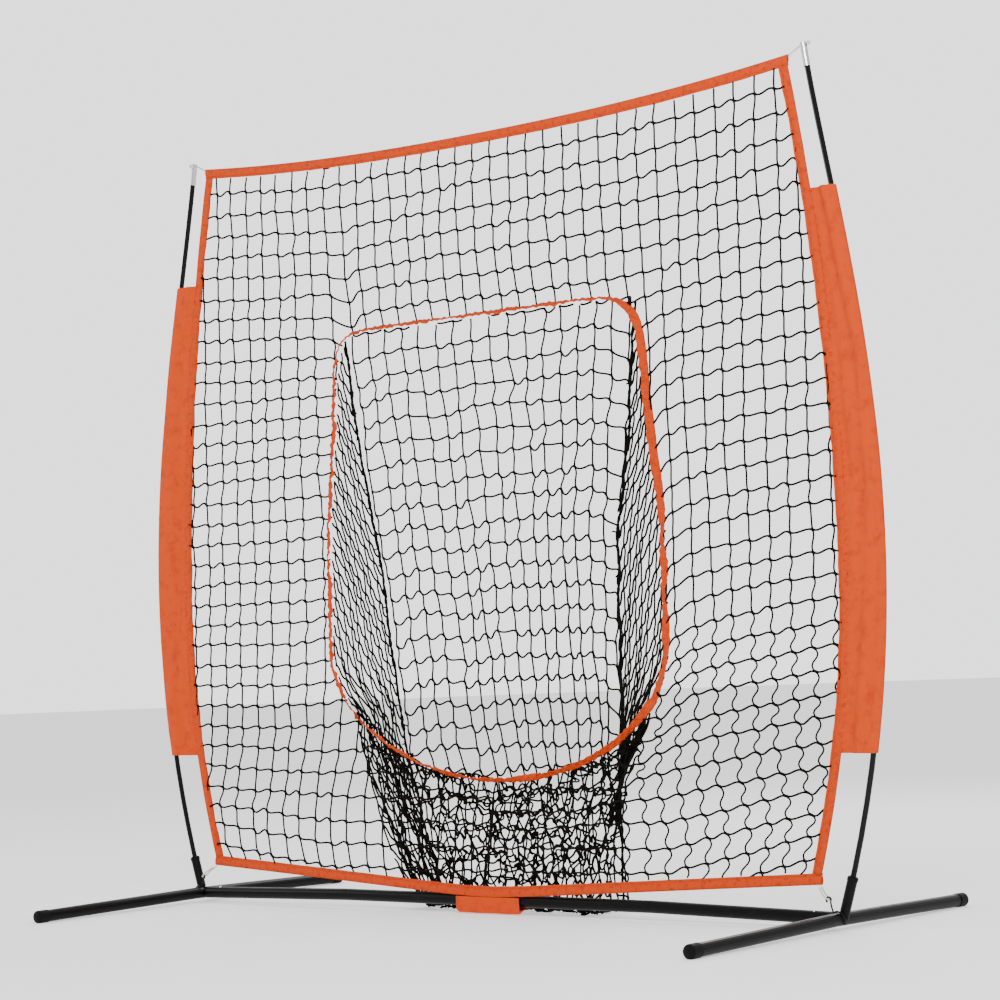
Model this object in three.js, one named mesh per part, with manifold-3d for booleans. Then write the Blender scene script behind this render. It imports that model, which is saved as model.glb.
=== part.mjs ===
// Pitching net on a bow frame: two welded steel feet joined by a three-piece crossbar, two bent
// fibreglass poles that stand in sockets on the feet, and a square net with a ball-catching sock
// that the poles hold stretched by elastic loops at its four corners.
//
// Frame: millimetres, +Z up, +X to the pitcher's right-hand side seen from the front, and the
// front (the side that the ball comes from) faces -Y. The origin is on the floor, in the middle
// of the footprint of the four foot ends.

import * as THREE from 'three';
import { mergeVertices } from 'three/addons/utils/BufferGeometryUtils.js';
import Module from 'manifold-3d';

const wasm = await Module();
wasm.setup();

// ---------------------------------------------------------------- driving dimensions

// base
const footSpacing = 2153;         // from one foot tube to the other, centre to centre
const footFront = 626;            // crossbar to the front end of a foot
const footRear = 571;             // crossbar to the rear end of a foot
const tubeRadius = 16;
const tubeWall = 1.5;
const footEndHeight = 16.5;       // height of a foot tube's axis at its ends
const junctionHeight = 25.5;      // and where the crossbar meets it: the feet arch slightly
const stubLength = 97.5;          // welded stub that the crossbar plugs into
const crossbarKink = 520;         // the middle tube reaches this far each side
const crossbarHeight = 35.5;      // axis of the middle tube
const spigotRadius = 13.4;        // reduced ends that plug into the next tube
const spigotLength = 50;
const spigotWall = 1.5;
const seamGap = 0.6;
const weldGap = 0.7;

// snap buttons
const buttonInset = 24;           // from the seam to the button
const buttonRadius = 3.6;
const buttonHoleRadius = 4.3;
const buttonProud = 3;            // how far the head stands out of the tube
const clipWidth = 8;
const clipThickness = 0.8;
const clipLength = 26;

// poles
const poleRadius = 7;
const poleFoot = { x: 1083.5, z: 34 };
const poleTip = { x: 1056.5, z: 2120 };
const poleFootLean = 18.4;        // degrees outwards at the socket
const poleTipLean = 8.9;          // degrees inwards at the tip
const poleFootPull = 911;         // lengths of the curve's two handles
const poleTipPull = 510;
const poleJoints = [700, 1400];   // heights where the sections of a pole meet
const netLean = 0.015;            // the poles and the net lean back by this slope
const socketRadius = 12.5;
const socketWall = 2;
const socketLength = 96;
const ferruleRadius = 8.6;
const ferruleLength = 110;
const tipRadius = 8.8;
const tipLength = 62;
const slotWidth = 5.6;
const slotDepth = 13;

// net and its orange edging
const edgeWidest = { x: 1102, z: 850 };     // inner edge of the side binding at its widest
const edgeTopDrop = 126;
const edgeTopSpan = 1260;
const edgeBottomDrop = 112;
const edgeBottomSpan = 745;
const bindingWidth = 28;
const bindingThickness = 3;
const topEdgeHeight = 2069;                 // top edge of the net at the middle
const topEdgeSag = 45;
const bottomEdgeHeight = 40;
const bottomEdgeSlope = 0.062;
const bottomEdgeRound = 100;
const bottomEdgeForward = 21;               // the strap holds the bottom edge before the crossbar
const bottomEdgeForwardSpan = 450;
const netThickness = 3;
const sewingGap = 0.8;
const cornerGap = 5;                        // between the ends of the edging strips

// sock
const mouthHalfWidth = 578;
const mouthWaist = 700;                     // height where the mouth is widest
const mouthRise = 896;
const mouthDrop = 364;
const mouthSquareness = 8;                  // superellipse powers above and below the waist
const mouthRoundness = 2.1;
const mouthDepth = 34;                      // how far behind the net plane the mouth is pulled
const ribbonWidth = 22;
const ribbonThickness = 5;
const sockTop = 1566;
const sideTop = 1490;
const sockFloor = 8;
const sockBulge = 150;                      // extra depth at the middle of the bottom

// pole sleeves
const sleeveBottom = 417;
const sleeveTop = 1778;
const sleeveBore = 10.4;
const sleeveCloth = 1.2;

// strap tab that ties the net's bottom edge to the crossbar
const strapHalfWidth = 107;
const strapThickness = 2;
const strapGap = 3.2;                       // slack between the strap and the tube
const strapBottom = 1.2;

// elastic loops and the hooks at the bottom corners
const elasticRadius = 2.2;
const wireRadius = 2.2;
const hookPlane = -20;                      // the hooks hang just in front of the sockets

const halfSpan = footSpacing / 2;
const footprintShift = (footFront - footRear) / 2;
const crossbarTilt = Math.atan2(crossbarHeight - junctionHeight, halfSpan - crossbarKink);
const stubBore = tubeRadius - tubeWall;

// ---------------------------------------------------------------- materials

function paint(color, roughness, metalness = 0) {
  return new THREE.MeshStandardMaterial({ color, roughness, metalness, side: THREE.DoubleSide });
}

const blackSteel = paint(0x17181a, 0.42, 0.3);
const blackPlastic = paint(0x0e0e0f, 0.55);
const zincSteel = paint(0xb9bbbd, 0.3, 1);
const chrome = paint(0xd8dadd, 0.12, 1);
const fibreglass = paint(0x0b0c0d, 0.25);
const coatedWire = paint(0x101011, 0.4);
const netting = paint(0x121212, 0.85);
const orangeCloth = paint(0xff5a0a, 0.8);
const orangeWebbing = paint(0xf9560c, 0.75);
const whiteElastic = paint(0xece7dc, 0.7);

// ---------------------------------------------------------------- shape helpers

const model = new THREE.Group();
model.position.y = footprintShift;

function add(name, geometry, material, parent = model) {
  const mesh = new THREE.Mesh(geometry, material);
  mesh.name = name;
  parent.add(mesh);
  return mesh;
}

// A point of the net or of a pole: depth is measured back from the leaning net plane.
function netPoint(x, depth, z) {
  return new THREE.Vector3(x, depth + netLean * z, z);
}

function toSolid(geometry) {
  const bare = geometry.clone();
  bare.deleteAttribute('normal');
  bare.deleteAttribute('uv');
  const merged = mergeVertices(bare);
  const vertProperties = new Float32Array(merged.attributes.position.array);
  const triVerts = new Uint32Array(merged.index.array);
  return new wasm.Manifold(new wasm.Mesh({ numProp: 3, vertProperties, triVerts }));
}

function toGeometry(solid) {
  const mesh = solid.getMesh();
  const geometry = new THREE.BufferGeometry();
  geometry.setAttribute('position', new THREE.BufferAttribute(mesh.vertProperties, 3));
  geometry.setIndex(new THREE.BufferAttribute(mesh.triVerts, 1));
  geometry.computeVertexNormals();
  return geometry;
}

function cut(geometry, ...tools) {
  let solid = toSolid(geometry);
  for (const tool of tools) solid = solid.subtract(toSolid(tool));
  return toGeometry(solid);
}

// Turned shape whose axis is +X: each profile point is [distance along X, radius].
function turned(profile, sides = 20) {
  const points = profile.map(([along, radius]) => new THREE.Vector2(radius, along));
  return new THREE.LatheGeometry(points, sides).rotateZ(-Math.PI / 2);
}

// Hollow tube along +X, from one end to the other.
function pipe(from, to, outer, inner, sides = 20) {
  return turned([[from, inner], [from, outer], [to, outer], [to, inner], [from, inner]], sides);
}

// Solid rod along +X.
function rod(from, to, radius, sides = 20) {
  return turned([[from, 0], [from, radius], [to, radius], [to, 0]], sides);
}

// Round bar or pipe along a curve.
function alongCurve(curve, steps, radius, bore = 0, sides = 12) {
  const section = new THREE.Shape().absarc(0, 0, radius, 0, 2 * Math.PI, false);
  if (bore > 0) section.holes.push(new THREE.Path().absarc(0, 0, bore, 0, 2 * Math.PI, true));
  const options = { steps, bevelEnabled: false, extrudePath: curve, curveSegments: sides / 2 };
  return new THREE.ExtrudeGeometry(section, options);
}

// Closed skin through a row of rings, each with the same even number of points. A looped row
// joins its last ring to its first; otherwise both ends are closed by a strip of faces.
function loft(rings, looped = false) {
  const count = rings[0].length;
  const positions = rings.flat().flatMap((point) => point.toArray());
  const faces = [];
  const quad = (a, b, c, d) => faces.push(a, b, c, a, c, d);
  const last = looped ? rings.length : rings.length - 1;
  for (let row = 0; row < last; row += 1) {
    const here = row * count;
    const next = ((row + 1) % rings.length) * count;
    for (let i = 0; i < count; i += 1) {
      const j = (i + 1) % count;
      quad(here + i, here + j, next + j, next + i);
    }
  }
  if (!looped) {
    const end = (rings.length - 1) * count;
    for (let i = 0; i < count / 2 - 1; i += 1) {
      quad(i, count - 1 - i, count - 2 - i, i + 1);
      quad(end + i, end + i + 1, end + count - 2 - i, end + count - 1 - i);
    }
  }
  const geometry = new THREE.BufferGeometry();
  geometry.setAttribute('position', new THREE.Float32BufferAttribute(positions, 3));
  geometry.setIndex(signedVolume(positions, faces) < 0 ? faces.reverse() : faces);
  geometry.computeVertexNormals();
  return geometry;
}

function signedVolume(positions, faces) {
  const corner = (index) => new THREE.Vector3().fromArray(positions, 3 * index);
  let volume = 0;
  for (let i = 0; i < faces.length; i += 3) {
    const normal = corner(faces[i + 1]).cross(corner(faces[i + 2]));
    volume += corner(faces[i]).dot(normal) / 6;
  }
  return volume;
}

// Sheet of even thickness on a surface: point(u, v) with u and v from 0 to 1.
function sheet(point, across, along, thickness) {
  const step = 0.002;
  const offset = (u, v, distance) => {
    const middle = point(u, v);
    const acrossEdge = point(u + step, v).sub(point(u - step, v));
    const alongEdge = point(u, v + step).sub(point(u, v - step));
    return middle.addScaledVector(acrossEdge.cross(alongEdge).normalize(), distance);
  };
  const rings = [];
  for (let j = 0; j <= along; j += 1) {
    const front = [];
    const back = [];
    for (let i = 0; i <= across; i += 1) {
      front.push(offset(i / across, j / along, -thickness / 2));
      back.unshift(offset(i / across, j / along, thickness / 2));
    }
    rings.push([...front, ...back]);
  }
  return loft(rings);
}

// Turns a shape from the +X direction to a heading, and moves its origin to a place.
function aim(geometry, place, heading) {
  const turn = new THREE.Quaternion().setFromUnitVectors(new THREE.Vector3(1, 0, 0), heading);
  return geometry.applyQuaternion(turn).translate(place.x, place.y, place.z);
}

function mix(a, b, t) {
  return a + (b - a) * t;
}

function sideName(side) {
  return side < 0 ? 'left' : 'right';
}

// ---------------------------------------------------------------- base

function footCurve(x) {
  const at = (y) => {
    const reach = y < 0 ? footFront : footRear;
    return new THREE.Vector3(x, y, mix(junctionHeight, footEndHeight, Math.abs(y) / reach));
  };
  return new THREE.CatmullRomCurve3([at(-footFront), at(-90), at(0), at(90), at(footRear)]);
}

// Domed plastic cap over a foot's end, with a small worn flat where it stands on the floor.
function footCap(x, end) {
  const wall = 1.2;
  const bore = tubeRadius + 0.3;
  const length = 34;
  const dome = 7;
  const domeStart = -2.5;
  const inside = 0.4;
  const profile = [[-length, bore], [-length, bore + wall], [domeStart, bore + wall]];
  for (let i = 1; i < 4; i += 1) {
    const turn = (i / 4) * Math.PI / 2;
    profile.push([domeStart + dome * Math.sin(turn), (bore + wall) * Math.cos(turn)]);
  }
  profile.push([domeStart + dome, 0], [inside, 0], [inside, bore], [-length, bore]);
  const reach = end < 0 ? footFront : footRear;
  const droop = Math.atan2(junctionHeight - footEndHeight, reach);
  const cap = turned(profile, 24);
  cap.rotateY(droop);
  cap.rotateZ(end * Math.PI / 2);
  cap.translate(x, end * reach, footEndHeight);
  const floor = new THREE.BoxGeometry(120, 120, 20).translate(x, end * reach, -10);
  return cut(cap, floor);
}

// Stands a shape that lies along +X on the foot of a pole, in line with the pole's lower end.
function alongSocket(side, geometry) {
  const curve = poleCurve(side);
  const foot = curve.getPoint(0);
  const mouth = curve.getPoint(poleParameter(curve, poleFoot.z + socketLength));
  return aim(geometry, foot, mouth.sub(foot).normalize());
}

function buildFoot(side) {
  const name = sideName(side);
  const x = side * halfSpan;
  const bore = tubeRadius - tubeWall;
  add(`${name}_foot_tube`, alongCurve(footCurve(x), 6, tubeRadius, bore, 18), blackSteel);
  add(`${name}_front_foot_cap`, footCap(x, -1), blackPlastic);
  add(`${name}_rear_foot_cap`, footCap(x, 1), blackPlastic);

  const footSpace = rod(-80, 80, tubeRadius + weldGap, 32).rotateZ(Math.PI / 2);
  footSpace.translate(x, 0, junctionHeight);
  const stubSpace = rod(-stubLength, stubLength, tubeRadius + weldGap, 32);
  stubSpace.translate(side * (halfSpan - stubLength), 0, junctionHeight);
  const socket = pipe(-8, socketLength - 10, socketRadius, socketRadius - socketWall, 20);
  alongSocket(side, socket);
  add(`${name}_pole_socket`, cut(socket, footSpace, stubSpace), blackSteel);
  add(`${name}_socket_bushing`, alongSocket(side, socketBushing()), blackPlastic);
}

// Plastic bushing that seats the thin pole in the wide socket, with a rounded collar on top.
function socketBushing() {
  const seat = socketLength - 10 + 0.3;
  const bore = poleRadius + 1;
  const insert = socketRadius - socketWall - 0.3;
  const collar = socketRadius + 1;
  return turned([
    [seat - 45, bore],
    [seat - 45, insert],
    [seat, insert],
    [seat, collar],
    [seat + 6, collar],
    [seat + 9, collar - 1.5],
    [seat + 10, collar - 4],
    [seat + 10, bore],
    [seat - 45, bore],
  ], 20);
}

// Tool that cuts a button's hole through one wall of a tube: the hole looks along +Z, turned
// about the tube's axis by roll.
function buttonHole(x, roll) {
  const hole = rod(6, 24, buttonHoleRadius, 16).rotateY(-Math.PI / 2);
  return hole.rotateX(roll).translate(x, 0, 0);
}

// Snap button with the spring arm that it is riveted to. Its pin points along +Z.
function snapButton() {
  const inside = spigotRadius - spigotWall;
  const armTop = inside - 2.6;
  const shoulder = 5;
  const top = tubeRadius + buttonProud;
  const pin = turned([
    [armTop - 0.4, 0],
    [armTop - 0.4, shoulder],
    [armTop + 0.8, shoulder],
    [armTop + 0.8, buttonRadius],
    [top - 1.6, buttonRadius],
    [top - 0.5, buttonRadius - 1],
    [top, 0],
  ], 16).rotateY(-Math.PI / 2);
  const arm = new THREE.BoxGeometry(clipLength + 5, clipWidth, clipThickness);
  arm.translate((clipLength + 5) / 2 - 5, 0, armTop - clipThickness / 2);
  return toGeometry(toSolid(pin).add(toSolid(arm)));
}

// The rest of the spring clip: the bend and the arm that leans on the far wall.
function springClip() {
  const bend = spigotRadius - spigotWall - 2.6 - clipThickness / 2;
  const start = clipLength + 0.4;
  const outer = bend + clipThickness / 2;
  const inner = bend - clipThickness / 2;
  const outline = new THREE.Shape();
  outline.moveTo(start, outer);
  outline.absarc(start, 0, outer, Math.PI / 2, -Math.PI / 2, true);
  outline.lineTo(-5, -outer);
  outline.lineTo(-5, -inner);
  outline.lineTo(start, -inner);
  outline.absarc(start, 0, inner, -Math.PI / 2, Math.PI / 2, false);
  const options = { depth: clipWidth, bevelEnabled: false, curveSegments: 8 };
  const clip = new THREE.ExtrudeGeometry(outline, options).translate(0, 0, -clipWidth / 2);
  return clip.rotateX(Math.PI / 2);
}

// A snap button and its clip in a tube: heading is +1 or -1 for the way the clip runs along X.
function addSnapButton(name, x, roll, heading, parent) {
  const seat = new THREE.Group();
  seat.position.x = x;
  seat.rotation.set(roll, 0, heading < 0 ? Math.PI : 0);
  parent.add(seat);
  add(`${name}_snap_button`, snapButton(), zincSteel, seat);
  add(`${name}_button_clip`, springClip(), zincSteel, seat);
}

// One side of the crossbar, built from the foot inwards along +X and tilted up to the kink.
function buildCrossbarSide(side) {
  const name = sideName(side);
  const arm = new THREE.Group();
  arm.position.set(side * halfSpan, 0, junctionHeight);
  arm.rotation.set(0, -crossbarTilt, side > 0 ? Math.PI : 0, 'ZYX');
  model.add(arm);

  const rollToFront = (side > 0 ? -1 : 1) * THREE.MathUtils.degToRad(20);
  const endButton = stubLength - buttonInset;
  const footSpace = rod(-80, 80, tubeRadius + weldGap, 32).rotateZ(Math.PI / 2);
  const stub = pipe(0, stubLength, tubeRadius, stubBore);
  const stubHole = buttonHole(endButton, rollToFront);
  add(`${name}_crossbar_stub`, cut(stub, footSpace, stubHole), blackSteel, arm);

  const reach = (halfSpan - crossbarKink) / Math.cos(crossbarTilt);
  const shoulder = stubLength + seamGap;
  const tube = turned([
    [stubLength - spigotLength, spigotRadius - spigotWall],
    [stubLength - spigotLength, spigotRadius],
    [shoulder - 1, spigotRadius],
    [shoulder, tubeRadius],
    [reach - seamGap / 2, tubeRadius],
    [reach - seamGap / 2, stubBore],
    [shoulder + 8, stubBore],
    [shoulder, spigotRadius - spigotWall],
    [stubLength - spigotLength, spigotRadius - spigotWall],
  ]);
  const rearward = (side > 0 ? 1 : -1) * Math.PI / 2;
  const middleHole = buttonHole(reach - buttonInset, rearward);
  const spigotHole = buttonHole(endButton, rollToFront);
  add(`${name}_crossbar_tube`, cut(tube, spigotHole, middleHole), blackSteel, arm);
  addSnapButton(`${name}_end`, endButton, rollToFront, 1, arm);
}

function buildCrossbarMiddle() {
  const middle = new THREE.Group();
  middle.position.z = crossbarHeight;
  model.add(middle);
  const shoulder = crossbarKink - seamGap / 2;
  const spigotEnd = crossbarKink + spigotLength;
  const spigotBore = spigotRadius - spigotWall;
  const tube = turned([
    [-spigotEnd, spigotBore],
    [-spigotEnd, spigotRadius],
    [1 - shoulder, spigotRadius],
    [-shoulder, tubeRadius],
    [shoulder, tubeRadius],
    [shoulder - 1, spigotRadius],
    [spigotEnd, spigotRadius],
    [spigotEnd, spigotBore],
    [shoulder, spigotBore],
    [shoulder - 10, stubBore],
    [10 - shoulder, stubBore],
    [-shoulder, spigotBore],
    [-spigotEnd, spigotBore],
  ]);
  const button = crossbarKink + buttonInset;
  const rearward = -Math.PI / 2;
  const holes = [-1, 1].map((side) => buttonHole(side * button, rearward));
  add('middle_crossbar_tube', cut(tube, ...holes), blackSteel, middle);
  addSnapButton('left_middle', -button, rearward, 1, middle);
  addSnapButton('right_middle', button, rearward, -1, middle);
}

// ---------------------------------------------------------------- poles

function poleCurve(side) {
  const footLean = THREE.MathUtils.degToRad(poleFootLean);
  const tipLean = THREE.MathUtils.degToRad(poleTipLean);
  const fromFoot = [poleFootPull * Math.sin(footLean), poleFootPull * Math.cos(footLean)];
  const fromTip = [poleTipPull * Math.sin(tipLean), -poleTipPull * Math.cos(tipLean)];
  const ends = [
    [poleFoot.x, poleFoot.z],
    [poleFoot.x + fromFoot[0], poleFoot.z + fromFoot[1]],
    [poleTip.x + fromTip[0], poleTip.z + fromTip[1]],
    [poleTip.x, poleTip.z],
  ];
  return new THREE.CubicBezierCurve3(...ends.map(([x, z]) => netPoint(side * x, 0, z)));
}

// Where a pole passes a given height, as the curve's parameter.
function poleParameter(curve, height) {
  let low = 0;
  let high = 1;
  for (let i = 0; i < 40; i += 1) {
    const middle = (low + high) / 2;
    if (curve.getPoint(middle).z < height) low = middle;
    else high = middle;
  }
  return low;
}

// Part of a pole's curve, between two parameters.
function polePiece(curve, from, to, count = 8) {
  const points = [];
  for (let i = 0; i <= count; i += 1) points.push(curve.getPoint(mix(from, to, i / count)));
  return new THREE.CatmullRomCurve3(points);
}

function buildPole(side) {
  const name = sideName(side);
  const curve = poleCurve(side);
  const joints = poleJoints.map((height) => poleParameter(curve, height));
  const jointGap = 0.0003;
  const lowest = 0.012;
  const highest = 0.992;
  const pieces = { lower: [lowest, joints[0]], middle: joints, upper: [joints[1], highest] };
  for (const [piece, [from, to]] of Object.entries(pieces)) {
    const section = polePiece(curve, from + jointGap, to - jointGap);
    add(`${name}_${piece}_pole`, alongCurve(section, 8, poleRadius), fibreglass);
  }
  const halfFerrule = ferruleLength / 2 / curve.getLength();
  joints.forEach((joint, index) => {
    const span = polePiece(curve, joint - halfFerrule, joint + halfFerrule, 3);
    const bore = poleRadius + 0.4;
    const ferrule = alongCurve(span, 3, ferruleRadius, bore);
    add(`${name}_${index ? 'upper' : 'lower'}_pole_ferrule`, ferrule, zincSteel);
  });
  buildPoleTip(name, curve);
}

// Plated cap on the pole's tip, slotted across its top for the elastic loop.
function buildPoleTip(name, curve) {
  const bore = poleRadius + 0.8;
  const profile = [
    [-tipLength + slotDepth + 4, bore],
    [-tipLength + slotDepth + 4, tipRadius],
    [slotDepth + 2.5, tipRadius],
    [slotDepth + 4, tipRadius - 1.6],
    [slotDepth + 4, 0],
    [1, 0],
    [1, bore],
    [-tipLength + slotDepth + 4, bore],
  ];
  const cap = turned(profile, 20);
  const slot = new THREE.BoxGeometry(slotDepth, 40, slotWidth);
  slot.rotateX(Math.PI / 2).translate(4 + slotDepth * 1.5, 0, 0);
  slot.translate(-slotDepth + 0.01, 0, 0);
  const place = curve.getPoint(1);
  add(`${name}_pole_tip`, aim(cut(cap, slot), place, curve.getTangent(1)), chrome);
}

// ---------------------------------------------------------------- net and edging

// Inner edge of the side binding at a given height: the poles' bow pulls it outwards.
function edgeX(z) {
  const above = z > edgeWidest.z;
  const share = Math.abs(z - edgeWidest.z) / (above ? edgeTopSpan : edgeBottomSpan);
  return edgeWidest.x - (above ? edgeTopDrop : edgeBottomDrop) * share ** 1.95;
}

function topEdgeZ(x) {
  return topEdgeHeight + topEdgeSag * Math.abs(x / 1000) ** 2.3;
}

function bottomEdgeZ(x) {
  return bottomEdgeHeight + bottomEdgeSlope * Math.hypot(x, bottomEdgeRound);
}

function bottomEdgeDepth(x) {
  return -bottomEdgeForward * Math.exp(-((x / bottomEdgeForwardSpan) ** 2));
}

const cornerTop = topEdgeZ(1000) - bindingWidth;
const cornerBottom = bottomEdgeZ(1000) + bindingWidth;

function buildEdging() {
  const topHalf = edgeX(cornerTop) + bindingWidth;
  const top = (u, v) => {
    const x = mix(-topHalf, topHalf, u);
    return netPoint(x, 0, topEdgeZ(x) - bindingWidth * v);
  };
  add('top_binding', sheet(top, 20, 1, bindingThickness), orangeWebbing);

  const bottomHalf = edgeX(cornerBottom) + bindingWidth;
  const bottom = (u, v) => {
    const x = mix(-bottomHalf, bottomHalf, u);
    return netPoint(x, bottomEdgeDepth(x), bottomEdgeZ(x) + bindingWidth * v);
  };
  add('bottom_binding', sheet(bottom, 20, 1, bindingThickness), orangeWebbing);

  for (const side of [-1, 1]) {
    const strip = (u, v) => {
      const z = mix(cornerBottom + cornerGap, cornerTop - cornerGap, v);
      return netPoint(side * (edgeX(z) + bindingWidth * u), 0, z);
    };
    add(`${sideName(side)}_binding`, sheet(strip, 1, 20, bindingThickness), orangeWebbing);
  }
}

// Half width of the sock's mouth at a given height.
function mouthX(z) {
  const above = z > mouthWaist;
  const power = above ? mouthSquareness : mouthRoundness;
  const share = Math.abs(z - mouthWaist) / (above ? mouthRise : mouthDrop);
  return mouthHalfWidth * Math.max(0, 1 - share ** power) ** (1 / power);
}

// Outline of the mouth, grown outwards by a margin: half a superellipse above the waist and
// half a rounder one below it.
function mouthOutline(count, margin) {
  const signedPower = (value, power) => Math.sign(value) * Math.abs(value) ** power;
  const points = [];
  for (let i = 0; i < count; i += 1) {
    const turn = (i / count) * 2 * Math.PI;
    const above = Math.sin(turn) > 0;
    const power = 2 / (above ? mouthSquareness : mouthRoundness);
    const reach = (above ? mouthRise : mouthDrop) + margin;
    const x = (mouthHalfWidth + margin) * signedPower(Math.cos(turn), power);
    const z = mouthWaist + reach * signedPower(Math.sin(turn), power);
    points.push(new THREE.Vector2(x, z));
  }
  return points;
}

// The flat netting between the edging and the mouth, drawn back towards the mouth.
function buildNetPanel() {
  const outline = [];
  const steps = 12;
  const inset = bindingWidth + sewingGap;
  const sideGap = sewingGap;
  const corner = edgeX(cornerBottom) - sideGap;
  const cornerAbove = edgeX(cornerTop) - sideGap;
  for (let i = 0; i < steps; i += 1) {
    const x = mix(-corner, corner, i / steps);
    outline.push(new THREE.Vector2(x, bottomEdgeZ(x) + inset));
  }
  for (let i = 0; i < steps; i += 1) {
    const z = mix(bottomEdgeZ(corner) + inset, topEdgeZ(cornerAbove) - inset, i / steps);
    outline.push(new THREE.Vector2(edgeX(z) - sideGap, z));
  }
  for (let i = 0; i < steps; i += 1) {
    const x = mix(cornerAbove, -cornerAbove, i / steps);
    outline.push(new THREE.Vector2(x, topEdgeZ(x) - inset));
  }
  for (let i = 0; i < steps; i += 1) {
    const z = mix(topEdgeZ(cornerAbove) - inset, bottomEdgeZ(corner) + inset, i / steps);
    outline.push(new THREE.Vector2(sideGap - edgeX(z), z));
  }
  const shape = new THREE.Shape(outline);
  const hole = mouthOutline(40, ribbonThickness);
  shape.holes.push(new THREE.Path(hole));
  const options = { depth: netThickness, bevelEnabled: false };
  const panel = new THREE.ExtrudeGeometry(shape, options);
  const position = panel.attributes.position;
  const onMouth = (x, z) => hole.some((point) => Math.hypot(point.x - x, point.y - z) < 0.01);
  for (let i = 0; i < position.count; i += 1) {
    const x = position.getX(i);
    const z = position.getY(i);
    const onBottom = z < bottomEdgeZ(x) + inset + 1;
    const drawn = onMouth(x, z) ? mouthDepth : 0;
    const depth = netThickness / 2 - position.getZ(i) + (onBottom ? bottomEdgeDepth(x) : drawn);
    const moved = netPoint(x, depth, z);
    position.setXYZ(i, moved.x, moved.y, moved.z);
  }
  panel.computeVertexNormals();
  add('net_panel', panel, netting);
}

// Ribbon sewn round the mouth.
function buildMouthBinding() {
  const middle = mouthOutline(48, -ribbonWidth / 2 - 1);
  const rings = middle.map((point, index) => {
    const next = middle[(index + 1) % middle.length];
    const before = middle[(index + middle.length - 1) % middle.length];
    const outward = new THREE.Vector2(next.y - before.y, before.x - next.x).normalize();
    const corner = (across, through) => {
      const x = point.x + outward.x * across * ribbonWidth / 2;
      const z = point.y + outward.y * across * ribbonWidth / 2;
      return netPoint(x, mouthDepth + through * ribbonThickness / 2, z);
    };
    return [corner(-1, -1), corner(1, -1), corner(1, 1), corner(-1, 1)];
  });
  add('mouth_binding', loft(rings, true), orangeWebbing);
}

// ---------------------------------------------------------------- sock

// Seam between the sock's back and a side, hanging from the mouth's upper corner.
function seamX(z) {
  const t = z / 1000;
  return 315 + 100 * t;
}

function seamDepth(z) {
  const t = z / 1000;
  return 125 - 110 * t + 38 * t * t;
}

// Front edge of a sock side: the mouth's edge, and below it the front's edge.
const frontCorner = { x: 490, z: 495 };
const frontFloorX = 300;
const sideWidest = 535;
const frontSlope = 0.048;

function sideFrontX(z) {
  if (z > frontCorner.z) return Math.min(mouthX(z) - ribbonWidth - 6, sideWidest);
  return mix(frontFloorX, frontCorner.x, (z - sockFloor) / (frontCorner.z - sockFloor)) + 10;
}

// Below the mouth the front of the sock falls back towards the floor.
function frontFall(z) {
  return frontSlope * Math.max(frontCorner.z - z, 0);
}

function backY(u, z) {
  const drop = (sockTop - z) / (sockTop - sockFloor);
  const slack = sockBulge * (0.35 * Math.sin(Math.PI * drop * 0.5) + 0.65 * drop * drop * drop);
  return seamDepth(z) + 6 + slack * (1 - u * u);
}

function buildSock() {
  const back = (u, v) => {
    const z = mix(sockTop, sockFloor, v);
    const across = 2 * u - 1;
    return netPoint(across * (seamX(z) - 4), backY(across, z), z);
  };
  add('sock_back_panel', sheet(back, 8, 12, netThickness), netting);

  for (const side of [-1, 1]) {
    const gusset = (u, v) => {
      const z = mix(sideTop, sockFloor, v);
      const x = mix(sideFrontX(z), seamX(z) + 5, u);
      const depth = mix(mouthDepth + 7 + frontFall(z), seamDepth(z), u);
      return netPoint(side * x, depth, z);
    };
    add(`sock_${sideName(side)}_side`, sheet(gusset, 2, 16, netThickness), netting);
  }

  const front = (u, v) => {
    const across = 2 * u - 1;
    const topX = across * (frontCorner.x - 4);
    const share = Math.abs(topX / mouthHalfWidth) ** mouthRoundness;
    const topZ = mouthWaist - mouthDrop * (1 - share) ** (1 / mouthRoundness) - 6;
    const z = mix(topZ, sockFloor, v);
    return netPoint(mix(topX, across * (frontFloorX - 4), v), mouthDepth + 3 + frontFall(z), z);
  };
  add('sock_front_panel', sheet(front, 10, 4, netThickness), netting);

  const floorZ = 2.6;
  const floor = (u, v) => {
    const across = 2 * u - 1;
    const depth = mix(mouthDepth + 31, backY(across, sockFloor) - 5, v);
    return netPoint(across * (frontFloorX - 6), depth, floorZ);
  };
  add('sock_floor_panel', sheet(floor, 8, 2, netThickness), netting);
}

// ---------------------------------------------------------------- sleeves

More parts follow.
